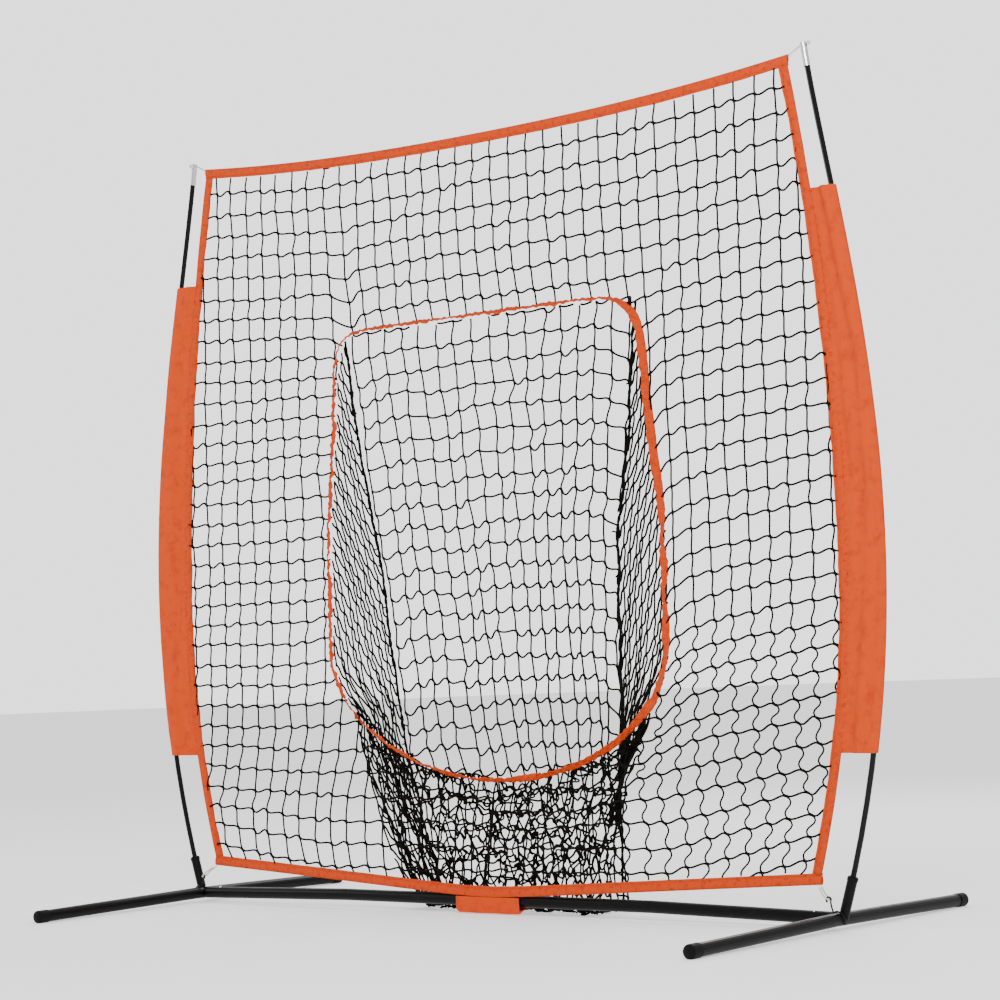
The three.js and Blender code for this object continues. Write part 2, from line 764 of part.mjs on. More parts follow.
// Cloth sleeve that the pole runs through. It is one closed wall round the pole's channel,
// drawn out to a flat web where it is sewn to the side binding.
function buildSleeve(side) {
  const name = sideName(side);
  const curve = poleCurve(side);
  const from = poleParameter(curve, sleeveBottom);
  const to = poleParameter(curve, sleeveTop);
  const stations = 14;
  const turns = 12;
  const rings = [];
  for (let i = 0; i < turns; i += 1) {
    const angle = ((i + 0.5) / turns) * 2 * Math.PI;
    const onWeb = Math.cos(angle) < -0.9;
    const outer = [];
    const inner = [];
    for (let j = 0; j <= stations; j += 1) {
      const centre = curve.getPoint(mix(from, to, j / stations));
      const inside = new THREE.Vector3(Math.cos(angle) * side, Math.sin(angle), 0);
      inner.unshift(centre.clone().addScaledVector(inside, sleeveBore));
      const wall = centre.clone().addScaledVector(inside, sleeveBore + sleeveCloth);
      if (onWeb) {
        wall.x = side * (edgeX(centre.z) + bindingWidth + sewingGap);
        wall.y = centre.y + Math.sign(Math.sin(angle)) * 1.5;
      }
      outer.push(wall);
    }
    rings.push([...outer, ...inner]);
  }
  add(`${name}_pole_sleeve`, loft(rings, true), orangeCloth);
}

// ---------------------------------------------------------------- strap tab

// Front half: sewn to the bottom binding, slack in front of the tube and tight under it.
// The flap behind closes on it with hook-and-loop tape and swings on the fold.
function buildStrap() {
  const front = -tubeRadius - strapGap;
  const rear = tubeRadius + strapGap;
  const top = bottomEdgeZ(0) - 2;
  const under = crossbarHeight - tubeRadius - strapGap - strapThickness;
  const outline = new THREE.Shape();
  outline.moveTo(front, top);
  outline.lineTo(front - strapThickness, top);
  outline.lineTo(front - strapThickness, strapBottom + 5);
  outline.lineTo(front + 3, strapBottom);
  outline.lineTo(front + 6, strapBottom);
  outline.lineTo(3, under);
  outline.lineTo(rear - 2, under);
  outline.lineTo(rear - 2, under + strapThickness);
  outline.lineTo(2, under + strapThickness);
  outline.lineTo(front + 5, strapBottom + strapThickness);
  outline.lineTo(front, strapBottom + 6);
  const options = { depth: 2 * strapHalfWidth, bevelEnabled: false };
  const tab = new THREE.ExtrudeGeometry(outline, options);
  tab.rotateX(Math.PI / 2).rotateZ(Math.PI / 2);
  tab.translate(-strapHalfWidth, 0, 0);
  add('strap_tab', tab, orangeCloth);

  const flapBottom = under + 0.3;
  const flapTop = crossbarHeight + tubeRadius + 5;
  const flap = new THREE.BoxGeometry(2 * strapHalfWidth, strapThickness, flapTop - flapBottom);
  flap.translate(0, rear, (flapTop + flapBottom) / 2);
  add('strap_flap', flap, orangeCloth);
}

// ---------------------------------------------------------------- elastic loops and hooks

const hookEye = { x: halfSpan - 21, z: 72 };

// Wire hook over a foot tube: an eye for the elastic, a shank, and a bend round the tube.
function hookCurve(side) {
  const bendRadius = tubeRadius + wireRadius + 0.8;
  const eyeRadius = 6.5;
  const points = [];
  const toPoint = (x, y, z) => points.push(new THREE.Vector3(side * x, y, z));
  for (let i = 0; i <= 9; i += 1) {
    const turn = THREE.MathUtils.degToRad(mix(-25, -315, i / 9));
    const y = hookPlane - 3 * (1 - i / 9);
    toPoint(hookEye.x + eyeRadius * Math.sin(turn), y, hookEye.z - eyeRadius * Math.cos(turn));
  }
  for (let i = 0; i <= 8; i += 1) {
    const turn = THREE.MathUtils.degToRad(mix(118, -42, i / 8));
    const x = halfSpan + bendRadius * Math.cos(turn);
    toPoint(x, hookPlane + 9 * (i / 8) ** 3, junctionHeight + bendRadius * Math.sin(turn));
  }
  return new THREE.CatmullRomCurve3(points);
}

function buildCorner(side) {
  const name = sideName(side);
  add(`${name}_ground_hook`, alongCurve(hookCurve(side), 28, wireRadius, 0, 6), coatedWire);

  const bottomX = edgeX(cornerBottom) + bindingWidth - 3;
  const bottomZ = bottomEdgeZ(bottomX) - elasticRadius - 0.5;
  const reach = new THREE.Vector2(hookEye.x - bottomX, hookEye.z - bottomZ);
  const heading = reach.clone().normalize();
  const span = reach.length();
  const loop = [];
  const strand = (along, y) => {
    const x = bottomX + heading.x * along;
    loop.push(new THREE.Vector3(side * x, y, bottomZ + heading.y * along));
  };
  strand(0, hookPlane + 21);
  strand(span * 0.5, hookPlane + 9);
  strand(span - 3, hookPlane + 5.5);
  strand(span + 0.5, hookPlane);
  strand(span - 3, hookPlane - 6.8);
  strand(span * 0.5, hookPlane - 4);
  strand(4, hookPlane + 10);
  const cord = alongCurve(new THREE.CatmullRomCurve3(loop), 16, elasticRadius, 0, 8);
  add(`${name}_bottom_elastic`, cord, whiteElastic);

  buildTopElastic(name, side);
}

// Elastic from the net's top corner through the slot of the pole's tip, to a knot behind it.
function buildTopElastic(name, side) {
  const curve = poleCurve(side);
  const tip = curve.getPoint(1);
  const heading = curve.getTangent(1);
  const slotFloor = tip.clone().addScaledVector(heading, 4 + slotDepth / 2 + elasticRadius + 0.6);
  const cornerX = edgeX(cornerTop) + bindingWidth + elasticRadius + 0.5;
  const start = netPoint(side * cornerX, 0, topEdgeZ(cornerX) - 4);
  const past = slotFloor.clone();
  past.x += side * (tipRadius + 3);
  const line = new THREE.CatmullRomCurve3([start, slotFloor, past]);
  const cord = alongCurve(line, 8, elasticRadius, 0, 8);
  const knot = new THREE.IcosahedronGeometry(5.2, 1).translate(past.x + side * 3, past.y, past.z);
  const joined = toSolid(cord).add(toSolid(knot));
  add(`${name}_top_elastic`, toGeometry(joined), whiteElastic);
}

// ---------------------------------------------------------------- assembly

for (const side of [-1, 1]) {
  buildFoot(side);
  buildCrossbarSide(side);
  buildPole(side);
  buildSleeve(side);
  buildCorner(side);
}
buildCrossbarMiddle();
buildEdging();
buildNetPanel();
buildMouthBinding();
buildSock();
buildStrap();

export default model;
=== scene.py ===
"""Looks of the bow-frame pitching net: real twine netting, folded tapes, cloth sleeves and
finishes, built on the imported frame. Metres, in the CAD frame: +Z up, the front faces -Y."""

import math

import bpy
import numpy as np
from mathutils import Matrix, Vector


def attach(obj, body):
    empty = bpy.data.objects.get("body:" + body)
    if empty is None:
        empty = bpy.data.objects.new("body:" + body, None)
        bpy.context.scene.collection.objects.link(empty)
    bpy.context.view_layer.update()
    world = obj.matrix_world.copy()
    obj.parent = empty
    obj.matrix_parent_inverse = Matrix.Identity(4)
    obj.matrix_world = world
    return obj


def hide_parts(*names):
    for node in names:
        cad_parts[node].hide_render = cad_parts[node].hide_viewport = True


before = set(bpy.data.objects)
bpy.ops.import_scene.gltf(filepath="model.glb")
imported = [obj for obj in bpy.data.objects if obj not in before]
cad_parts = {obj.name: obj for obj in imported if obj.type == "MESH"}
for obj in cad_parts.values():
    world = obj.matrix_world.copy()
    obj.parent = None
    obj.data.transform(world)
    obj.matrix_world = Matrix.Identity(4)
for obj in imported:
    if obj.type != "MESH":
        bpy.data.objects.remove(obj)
rng = np.random.default_rng(20)

# ---------------------------------------------------------------- dimensions of the CAD frame

SHIFT = 0.0275          # the net plane stands this far behind the middle of the footprint
LEAN = 0.015            # and leans back by this slope
BINDING = 0.028         # width of the folded edging
MOUTH_WAIST, MOUTH_RISE, MOUTH_DROP = 0.700, 0.888, 0.352    # to the middle of the ribbon
MOUTH_DEPTH = 0.034
RIBBON = 0.022
SOCK_TOP, SIDE_TOP, SOCK_FLOOR = 1.566, 1.490, 0.008
TWINE = 0.0026          # radius of the netting twine
CELL = 0.062            # twine from one knot to the next
STRAP_MIDDLE, STRAP_HALF = -0.001, 0.107
FLAP_FOOT, FLAP_TOP = 0.0150, 0.0560
CORNER_HALF, CORNER_HEIGHT = 0.490, 0.495    # where the sock's front meets its sides
FRONT_FOOT, FRONT_SLOPE = 0.300, 0.048       # the front's half width at the floor, and its slope
SLEEVE_FOOT, SLEEVE_TOP = 0.417, 1.778
WIDEST, WIDEST_HALF = 0.850, 1.102           # height where the net is widest, and how wide
SIDES = ((-1, "left"), (1, "right"))


def net_point(x, depth, z):
    """Points of the leaning net plane. depth is measured back from it."""
    return np.stack(np.broadcast_arrays(x, depth + LEAN * z + SHIFT, z), -1)


def smooth(low, high, value):
    """Rises from 0 to 1 as value goes from low to high, without corners."""
    t = np.clip((value - low) / (high - low), 0, 1)
    return t * t * (3 - 2 * t)


def mix(a, b, t):
    return a + (b - a) * t


def between(z, *marks):
    """Value at height z, on straight lines between marks of (height, value)."""
    heights, values = zip(*marks)
    return np.interp(z, heights, values)


def edge_x(z):
    """Inner edge of the side edging, which is drawn in above and below its widest height."""
    above = z > WIDEST
    reach, drawn_in = np.where(above, 1.260, 0.745), np.where(above, 0.126, 0.112)
    return WIDEST_HALF - drawn_in * (np.abs(z - WIDEST) / reach) ** 1.95


def top_edge_z(x):
    return 2.069 + 0.045 * np.abs(x) ** 2.3


def bottom_edge_z(x):
    return 0.040 + 0.062 * np.hypot(x, 0.100)


def bottom_edge_depth(x):
    return -0.021 * np.exp(-((x / 0.450) ** 2))


def mouth_half(x, z):
    """Half width of the mouth on the side of x; its upper corners are drawn in."""
    taper = smooth(0.95, 1.42, z)
    return np.where(x < 0, 0.582 - 0.032 * taper, 0.567 - 0.038 * taper)


def mouth_power(x, above):
    """Superellipse powers: nearly square above the waist, rounder below it."""
    return np.where(above, np.where(x < 0, 14.0, 11.0), np.where(x < 0, 1.85, 2.1))


def mouth_gap(x, z):
    """Distance outside the mouth's outline, along the line from its middle."""
    rise = z - MOUTH_WAIST
    power = mouth_power(x, rise > 0)
    reach = np.where(rise > 0, MOUTH_RISE, MOUTH_DROP)
    size = (np.abs(x) / mouth_half(x, z)) ** power + (np.abs(rise) / reach) ** power
    size = np.maximum(size, 1e-6) ** (1 / power)
    return np.hypot(x, rise) * (1 - 1 / size)


def seam_x(z, side=0):
    """Half width at the sock's seams; the left one and the right one hang a little apart."""
    left = between(z, (0, -0.050), (0.46, 0.009), (0.9, 0.0), (1.1, 0.021), (1.3, 0.034), (1.55, 0.045))
    right = between(z, (0, 0.012), (0.45, 0.015), (1.0, -0.006), (1.25, 0.012), (1.55, 0.018))
    return 0.315 + 0.100 * z + np.where(np.asarray(side) < 0, left, right)


def seam_depth(z):
    return 0.125 - 0.110 * z + 0.038 * z * z


def front_depth(z):
    """Depth of the sock's front, which slopes back below the corners where its sides begin."""
    return MOUTH_DEPTH + FRONT_SLOPE * np.maximum(CORNER_HEIGHT - z, 0)


def back_depth(u, z):
    """Depth of the sock's back: u runs from -1 to 1 between the seams, and it bulges low down."""
    drop = np.clip((SOCK_TOP - z) / (SOCK_TOP - SOCK_FLOOR), 0, 1)
    slack = 0.150 * (0.35 * np.sin(np.pi * drop * 0.5) + 0.65 * drop**3)
    return seam_depth(z) + 0.006 + slack * (1 - u * u)


# ---------------------------------------------------------------- meshes


class Skin:
    """Gathers faces with their texture coordinates into one mesh."""

    def __init__(self):
        self.points, self.faces, self.uvs, self.count = [], [], [], 0

    def grid(self, points, uv, loop=False, caps=True):
        """Skin over rings: points is (rings, sides, 3); the sides close on themselves, and the
        rings too if loop is set. uv is (ring coordinate, side coordinate) in metres."""
        rings, sides = points.shape[:2]
        along, around = uv
        base = self.count + np.arange(rings * sides).reshape(rings, sides)
        self.points.append(points.reshape(-1, 3))
        self.count += rings * sides
        last = rings if loop else rings - 1
        for k in range(last):
            n = (k + 1) % rings
            for s in range(sides):
                t = (s + 1) % sides
                self.faces.append((base[k, s], base[k, t], base[n, t], base[n, s]))
                a, b = along[k], along[k + 1]
                c, d = around[s], around[s + 1]
                self.uvs += [(c, a), (d, a), (d, b), (c, b)]
        if caps and not loop:
            self.faces.append(tuple(base[0, ::-1]))
            self.faces.append(tuple(base[-1]))
            self.uvs += [(0, along[0])] * sides + [(0, along[-1])] * sides

    def tube(self, line, radius, up, sides=5):
        """Round thread along a line; radius is one value or one per point."""
        step = np.gradient(line, axis=0)
        step /= np.linalg.norm(step, axis=1, keepdims=True) + 1e-12
        across = np.cross(step, np.asarray(up, float))
        across /= np.linalg.norm(across, axis=1, keepdims=True) + 1e-12
        other = np.cross(step, across)
        turn = np.arange(sides) / sides * 2 * np.pi
        radius = np.broadcast_to(radius, len(line))[:, None, None]
        ring = across[:, None] * np.cos(turn)[:, None] + other[:, None] * np.sin(turn)[:, None]
        along = np.append(0, np.cumsum(np.linalg.norm(np.diff(line, axis=0), axis=1)))
        around = np.arange(sides + 1) / sides * 2 * np.pi * float(np.mean(radius))
        self.grid(line[:, None] + ring * radius, (along, around))

    def piece(self, name, material, slot, *replaced, body="root"):
        mesh = bpy.data.meshes.new(name)
        faces = [[int(index) for index in face] for face in self.faces]
        mesh.from_pydata(np.concatenate(self.points).tolist(), [], faces)
        layer = mesh.uv_layers.new(name="UVMap")
        layer.data.foreach_set("uv", np.array(self.uvs, np.float32).ravel())
        mesh.polygons.foreach_set("use_smooth", [True] * len(mesh.polygons))
        mesh.update()
        piece = bpy.data.objects.new(name, mesh)
        bpy.context.scene.collection.objects.link(piece)
        mesh.materials.append(material)
        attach(piece, body)
        if replaced:
            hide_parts(*replaced)
        return piece


# ---------------------------------------------------------------- netting


def drifting(shape, axis):
    """Random moves that change slowly along one axis, with a spread of about 1."""
    field = rng.normal(0, 1, shape)
    for _ in range(3):
        field = field + 0.5 * (np.roll(field, 1, axis) + np.roll(field, -1, axis))
    return field / np.std(field)


def knit(skin, place, columns, rows, keep, jitter, steps=8, sag=0.0, wave=(1.0, 0.45), loose=0.0,
         settle=None):
    """Square-mesh netting on a surface. place(a, b) gives points for column a and row b. Twine
    longer than the way between two knots hangs in an S, and sag turns part of it into a U.
    wave is the share of that slack shown in rows and in columns. keep says where there is net.
    jitter moves the knots, loose adds random loops to the twine and settle corrects its lines."""
    i = np.arange(columns[0], columns[1] + 1)
    j = np.arange(rows[0], rows[1] + 1)
    a, b = np.meshgrid(i.astype(float), j.astype(float))
    knots = place(a, b)
    size = np.broadcast_to(jitter(knots) if callable(jitter) else jitter, a.shape)
    moves = np.stack([drifting(a.shape, 0), drifting(a.shape, 1), drifting(a.shape, 1)], -1)
    moves = (0.8 * moves + 0.6 * rng.normal(0, 1, moves.shape)) * size[..., None]
    t = np.linspace(0, 1, steps, endpoint=False)
    near = np.minimum(t, 1 - t)
    swell = 1 + 0.40 * np.exp(-((near / 0.060) ** 2))
    swing = math.sqrt(1 - sag * sag) * np.sin(2 * np.pi * (t + 0.04 * np.sin(2 * np.pi * t)))
    swing = swing + 2 * sag * np.sin(np.pi * t)

    def strand(ends, base, toward, up, share, thick):
        count = len(ends)
        step = np.gradient(base.reshape(-1, 3), axis=0).reshape(base.shape)
        step /= np.linalg.norm(step, axis=-1, keepdims=True) + 1e-9
        sideways = toward - step * np.sum(toward * step, -1, keepdims=True)
        sideways /= np.linalg.norm(sideways, axis=-1, keepdims=True) + 1e-9
        moved = ends[:, 0] + ends[:, 1]
        gap = np.linalg.norm(np.diff(moved, axis=0), axis=1)
        slack = np.sqrt(np.maximum(CELL**2 - gap**2, (0.2 * CELL) ** 2)) / 4.44
        amplitude = slack * share * rng.uniform(0.75, 1.25, count - 1)
        blend = t * t * (3 - 2 * t)
        drift = mix(ends[:-1, 1, None], ends[1:, 1, None], blend[None, :, None])
        offset = sideways * (amplitude[:, None] * swing)[..., None]
        if loose:
            for turns in (1, 2, 3):
                kink = rng.normal(0, loose / turns, (count - 1, 1, 3))
                offset = offset + kink * np.sin(turns * np.pi * t)[None, :, None]
        line = np.concatenate([(base + drift + offset).reshape(-1, 3), moved[-1:]])
        if settle:
            line = settle(line)
        radius = TWINE * thick * np.append(np.tile(swell, count - 1), swell[0])
        inside = keep(line)
        edges = np.flatnonzero(np.diff(np.concatenate([[0], inside.astype(int), [0]])))
        for start, stop in zip(edges[::2], edges[1::2]):
            if stop - start > 3:
                skin.tube(line[start:stop], radius[start:stop], up)

    pairs = np.stack([knots, moves], 2)
    for row in range(len(j)):
        fine = (i[:-1, None] + t).astype(float)
        base = place(fine, np.full_like(fine, j[row]))
        down = place(fine, np.full_like(fine, j[row] + 0.2)) - base
        strand(pairs[row], base, down, (0, 0.3, 1), wave[0], 1.1)
    for column in range(len(i)):
        fine = (j[:-1, None] + t).astype(float)
        base = place(np.full_like(fine, i[column]), fine)
        side = place(np.full_like(fine, i[column] + 0.2), fine) - base
        strand(pairs[:, column], base, side, (0.3, 1, 0), wave[1], 0.95)


def front_place(a, b):
    """The front panel: hung from the top edge, drawn back and down towards the mouth."""
    z = 2.098 - 0.0615 * b + 0.00009 * b * b
    x = 0.0605 * a
    right = x > 0
    spread = smooth(0.15, 0.5, np.abs(x))
    low = 0.030 * np.exp(-(((z - 0.27) / 0.12) ** 2)) - 0.035 * np.exp(-(((z - 0.08) / 0.06) ** 2))
    x = x + np.sign(x) * low * spread
    edge = edge_x(np.clip(z, 0.1, 2.1))
    gap = np.maximum(mouth_gap(x, z), 0)
    inner = mouth_half(x, z)
    share = 1 - np.clip((np.abs(x) - inner) / (edge - inner), 0, 1)
    slope_right = between(z, (0.15, 0.115), (0.5, 0.066), (0.8, 0.056), (1.4, 0.025), (1.7, 0.040))
    slope_left = between(z, (0.15, 0.060), (0.5, 0.010), (1.2, 0.0), (1.6, 0.035), (2.0, 0.040))
    near_right = 0.050 * smooth(0.1, 0.5, z) * (1 - smooth(1.50, 1.75, z))
    near_left = -0.022 * smooth(0.3, 0.6, z) * (1 - smooth(0.7, 1.1, z))
    pull = np.exp(-gap / 0.06)
    fall_right = slope_right * share + near_right * pull
    fall_left = slope_left * share + near_left * pull
    z = z - np.where(right, fall_right, fall_left)
    fold = np.exp(-(((x + 0.490) / 0.042) ** 2)) * smooth(2.0, 1.62, z) * smooth(1.3, 1.5, z)
    z = z - 0.034 * fold
    gap = np.maximum(mouth_gap(x, z), 0)
    drawn = MOUTH_DEPTH * np.exp(-gap / 0.12) * smooth(0.07, 0.34, z)
    forward = bottom_edge_depth(x) * np.exp(-np.maximum(z - 0.07, 0) / 0.08)
    sway = 0.0075 * np.sin(2 * np.pi * b) * smooth(0.22, 0.45, x) * smooth(0.85, 0.60, z)
    return net_point(x + sway, drawn + forward + 0.010 * fold, z)


def front_keep(line):
    x, z = line[:, 0], line[:, 2]
    inside = np.abs(x) < edge_x(np.clip(z, 0.1, 2.1)) + 0.009
    inside &= (z < top_edge_z(x) - 0.024) & (z > bottom_edge_z(x) + 0.024)
    return inside & (mouth_gap(x, z) > -0.003)


def back_place(a, b):
    """The back of the sock: narrow at the floor, where it bulges back, and slack between."""
    u = a / 8.3
    z = SOCK_TOP + 0.020 - 0.0605 * b
    end = np.clip((np.abs(u) - 0.70) / 0.30, 0, 1.3) ** 1.4
    drape = 0.017 * np.exp(-(((u + 0.40) / 0.17) ** 2)) * smooth(1.55, 1.1, z)
    x = np.sign(u) * np.abs(u) ** 0.97 * seam_x(z, np.sign(u))
    depth = back_depth(np.clip(u, -1, 1), z) + 0.9 * drape
    z = z - np.where(u < 0, 0.030, 0.050) * end * smooth(1.60, 1.50, z) - drape
    return net_point(x, depth, z)


def side_place(side):
    """A side of the sock, hung narrow: its rows run steeply down to the seam, so that the cells
    close up into long loops, and low down all of them are crowded together."""

    def place(a, b):
        z = SIDE_TOP + 0.03 - 0.056 * b + 0.042 * a
        level = np.clip(z, 0, SIDE_TOP)
        seam, front = seam_x(level, side), side_front(level, side)
        deep, near = seam_depth(level), front_depth(level) + 0.007
        run = np.maximum(np.hypot(front - seam, deep - near), 0.01)
        crowd = smooth(0.95, 0.45, level)
        share = mix(a * 0.0215 / run, a / 9.0, crowd)
        return net_point(side * mix(seam, front, share), mix(deep, near, share), z)

    return place


def side_front(z, side):
    """Front edge of a side: the mouth's edge, and below it the edge of the sock's front."""
    above = mouth_x(z, side) - 0.004
    below = mix(FRONT_FOOT, CORNER_HALF, (z - SOCK_FLOOR) / (CORNER_HEIGHT - SOCK_FLOOR)) + 0.010
    belly = np.where(side < 0, 0.030, -0.050)
    below = below + belly * np.sin(np.pi * np.clip(z / 0.49, 0, 1))
    return mix(below, above, smooth(0.46, 0.56, z))


def mouth_x(z, side):
    """Half width of the mouth's outline at height z."""
    above = z > MOUTH_WAIST
    power = mouth_power(side, above)
    share = np.clip(np.abs(z - MOUTH_WAIST) / np.where(above, MOUTH_RISE, MOUTH_DROP), 0, 1)
    return mouth_half(side, z) * (1 - share**power) ** (1 / power)


def side_keep(side):
    def keep(line):
        x, z = np.abs(line[:, 0]), line[:, 2]
        held = (z > SOCK_FLOOR + 0.002) & (z < SIDE_TOP + 0.06)
        return held & (x < side_front(z, side) + 0.004) & (x > seam_x(z, side) - 0.004)

    return keep


def under_place(a, b):
    """The front of the sock, below the mouth: bunched rows that follow the mouth's arc."""
    share = np.clip(b / 10.0, 0, 1)
    top_x = 0.0350 * a
    power = mouth_power(top_x, False)
    ratio = np.clip(np.abs(top_x) / mouth_half(top_x, 0.5), 0, 0.999)
    top_z = MOUTH_WAIST - MOUTH_DROP * (1 - ratio**power) ** (1 / power) - 0.002
    z = mix(top_z, SOCK_FLOOR + 0.004, share**1.15)
    return net_point(mix(top_x, top_x * 0.62, share), front_depth(z) + 0.003, z)


def floor_place(a, b):
    """The floor of the sock, from its front to its back."""
    u = a / 9.0
    share = np.clip(b / 6.0, 0, 1)
    depth = mix(MOUTH_DEPTH + 0.031, back_depth(u, SOCK_FLOOR) - 0.005, share)
    return net_point(0.290 * u, depth, np.full_like(u, 0.006))


def above_floor(line):
    x, z = line[:, 0], line[:, 2]
    held = (z > 0.0024) & (z < MOUTH_WAIST + MOUTH_RISE - 0.004)
    return held & (np.abs(x) < seam_x(z, np.sign(x)) + 0.14)


def behind_flap(line):
    """Keeps the front of the sock clear of the strap's flap when that is opened."""
    aside = smooth(0.010, 0.040, np.abs(line[:, 0] - STRAP_MIDDLE) - STRAP_HALF)
    limit = 0.090 - 0.020 * np.maximum(smooth(0.055, 0.085, line[:, 2]), aside)
    line[:, 1] = np.maximum(line[:, 1], limit)
    return line


def build_netting(material):
    front = Skin()
    knit(front, front_place, (-19, 19), (0, 36), front_keep, 0.0020)
    front.piece("net_twine", material, "netting", "net_panel")

    back = Skin()
    knit(back, back_place, (-8, 8), (0, 26), above_floor,
         lambda knots: 0.0030 + 0.007 * smooth(0.45, 0.1, knots[..., 2]),
         10, 0.55, (0.85, 0.5), 0.0007)
    back.piece("sock_back_twine", material, "netting", "sock_back_panel")

    for side, name in SIDES:
        gusset = Skin()
        knit(gusset, side_place(side), (0, 9), (0, 35), side_keep(side),
             lambda knots: 0.0018 + 0.003 * smooth(0.7, 0.2, knots[..., 2]),
             10, 0.3, (0.42, 0.34))
        seam_cord(gusset, side)
        gusset.piece(f"sock_{name}_twine", material, "netting", f"sock_{name}_side")

    under = Skin()
    knit(under, under_place, (-14, 14), (0, 10), above_floor, 0.0085, 12, 0.6, (0.55, 0.5), 0.0045,
         behind_flap)
    under.piece("sock_front_twine", material, "netting", "sock_front_panel")

    floor = Skin()
    knit(floor, floor_place, (-9, 9), (0, 6), above_floor, 0.006, 10, 0.5, (0.5, 0.5), 0.003)
    floor.piece("sock_floor_twine", material, "netting", "sock_floor_panel")


def seam_cord(skin, side):
    """The two edges laced together: three strands wound round the seam, with cut ends."""
    z = np.linspace(SOCK_TOP, SOCK_FLOOR + 0.008, 260)
    wander = 0.0035 * np.sin(z * 11 + side) + 0.0020 * np.sin(z * 37)
    middle = net_point(side * (seam_x(z, side) + 0.002 + wander), seam_depth(z) + 0.003, z)
    for turn in range(3):
        phase = turn * np.pi / 1.5 + z * 95 + 0.8 * np.sin(z * 23 + turn)
        reach = 0.0020 + 0.0016 * np.sin(z * 61 + 2 * turn)
        offset = np.stack([np.cos(phase) * reach, np.sin(phase) * reach, 0 * z], -1)
        skin.tube(middle + offset, TWINE * 0.8, (0, 1, 0))
    for start in np.arange(8, 250, 9):
        foot = middle[start]
        out = np.array([side * rng.uniform(-0.5, 1), rng.uniform(-0.8, 0.2), rng.uniform(-0.6, 0.6)])
        out *= rng.uniform(0.010, 0.018) / np.linalg.norm(out)
        bend = np.array([0, 0, -0.003])
        share = np.linspace(0, 1, 5)[:, None]
        skin.tube(foot + out * share + bend * share**2, TWINE * 0.85, (0.1, 0.2, 1))


# ---------------------------------------------------------------- tapes, ribbon and sleeves


def folded_tape(name, outer_line, inward, node, material, thread):
    """Tape folded over the net's edge: outer_line is the fold, inward points to the net. A row
    of stitches sinks into it beside the net."""
    along = np.append(0, np.cumsum(np.linalg.norm(np.diff(outer_line, axis=0), axis=1)))
    cloth = 0.0008
    front = np.array([(1.00, 0.0018), (0.90, 0.0026), (0.80, 0.0009), (0.74, 0.0012), (0.64, 0.0030),
                      (0.40, 0.0040), (0.14, 0.0036), (0.03, 0.0017), (0.0, 0.0)])
    outer = np.concatenate([front, (front * (1, -1))[-2::-1]])
    inner = np.stack([np.clip(outer[:, 0] + 0.03, 0, 1.0),
                      np.sign(outer[:, 1]) * np.maximum(np.abs(outer[:, 1]) - cloth, 0.0003)], -1)
    inner[len(front) - 1] = (0.035, 0)
    loop = np.concatenate([outer, inner[::-1]])
    back = np.array([0, 1.0, LEAN])
    ripple = 0.0008 * np.sin(along * 90 + 2 * np.sin(along * 17)) + 0.0010 * np.sin(along * 31 + 1)
    thick = -loop[:, 1][None] * (1 + 0.16 * np.sin(along * 47))[:, None]
    thick = thick + ripple[:, None] * loop[:, 0][None]
    rings = outer_line[:, None] + inward[:, None] * (loop[:, 0] * BINDING)[None, :, None]
    rings = rings + thick[..., None] * back
    closed = np.vstack([loop, loop[:1]]) * (BINDING, 1)
    around = np.append(0, np.cumsum(np.linalg.norm(np.diff(closed, axis=0), axis=1)))
    skin = Skin()
    skin.grid(rings, (along, around))
    piece = skin.piece(name, material, "orange_webbing", node)
    length = float(along[-1])
    for side, column in ((-1, 2), (1, len(outer) - 3)):
        seam = rings[:, column] + back * side * 0.0003
        stitches(thread, along, seam, 0.0044, inward[0])
    return length


def stitches(skin, along, seam, pitch, up):
    """A row of lockstitches along a seam."""
    for start in np.arange(along[0] + pitch, along[-1] - pitch, pitch):
        where = start + pitch * np.array([0, 0.36, 0.72])
        line = np.stack([np.interp(where, along, seam[:, k]) for k in range(3)], -1)
        skin.tube(line, np.array([0.00030, 0.00050, 0.00030]), up, 4)


def build_tapes(material):
    thread = Skin()
    lengths = {}
    corner_top = top_edge_z(1.0) - BINDING
    corner_bottom = bottom_edge_z(1.0) + BINDING
    x = np.linspace(-1, 1, 300) * (edge_x(corner_top) + BINDING)
    down = np.tile([0, -LEAN, -1.0], (300, 1))
    line = net_point(x, 0, top_edge_z(x))
    lengths["top"] = folded_tape("top_tape", line, down, "top_binding", material, thread)

    x = np.linspace(-1, 1, 300) * (edge_x(corner_bottom) + BINDING)
    line = net_point(x, bottom_edge_depth(x), bottom_edge_z(x))
    lengths["bottom"] = folded_tape("bottom_tape", line, -down, "bottom_binding", material, thread)

    z = np.linspace(corner_bottom - 0.0015, corner_top + 0.0015, 300)
    for side, name in SIDES:
        line = net_point(side * (edge_x(z) + BINDING), 0, z)
        inward = np.tile([-side, 0, 0.0], (300, 1))
        lengths[name] = folded_tape(f"{name}_tape", line, inward, f"{name}_binding", material, thread)
    thread.piece("tape_stitches", material, "orange_webbing")
    return lengths


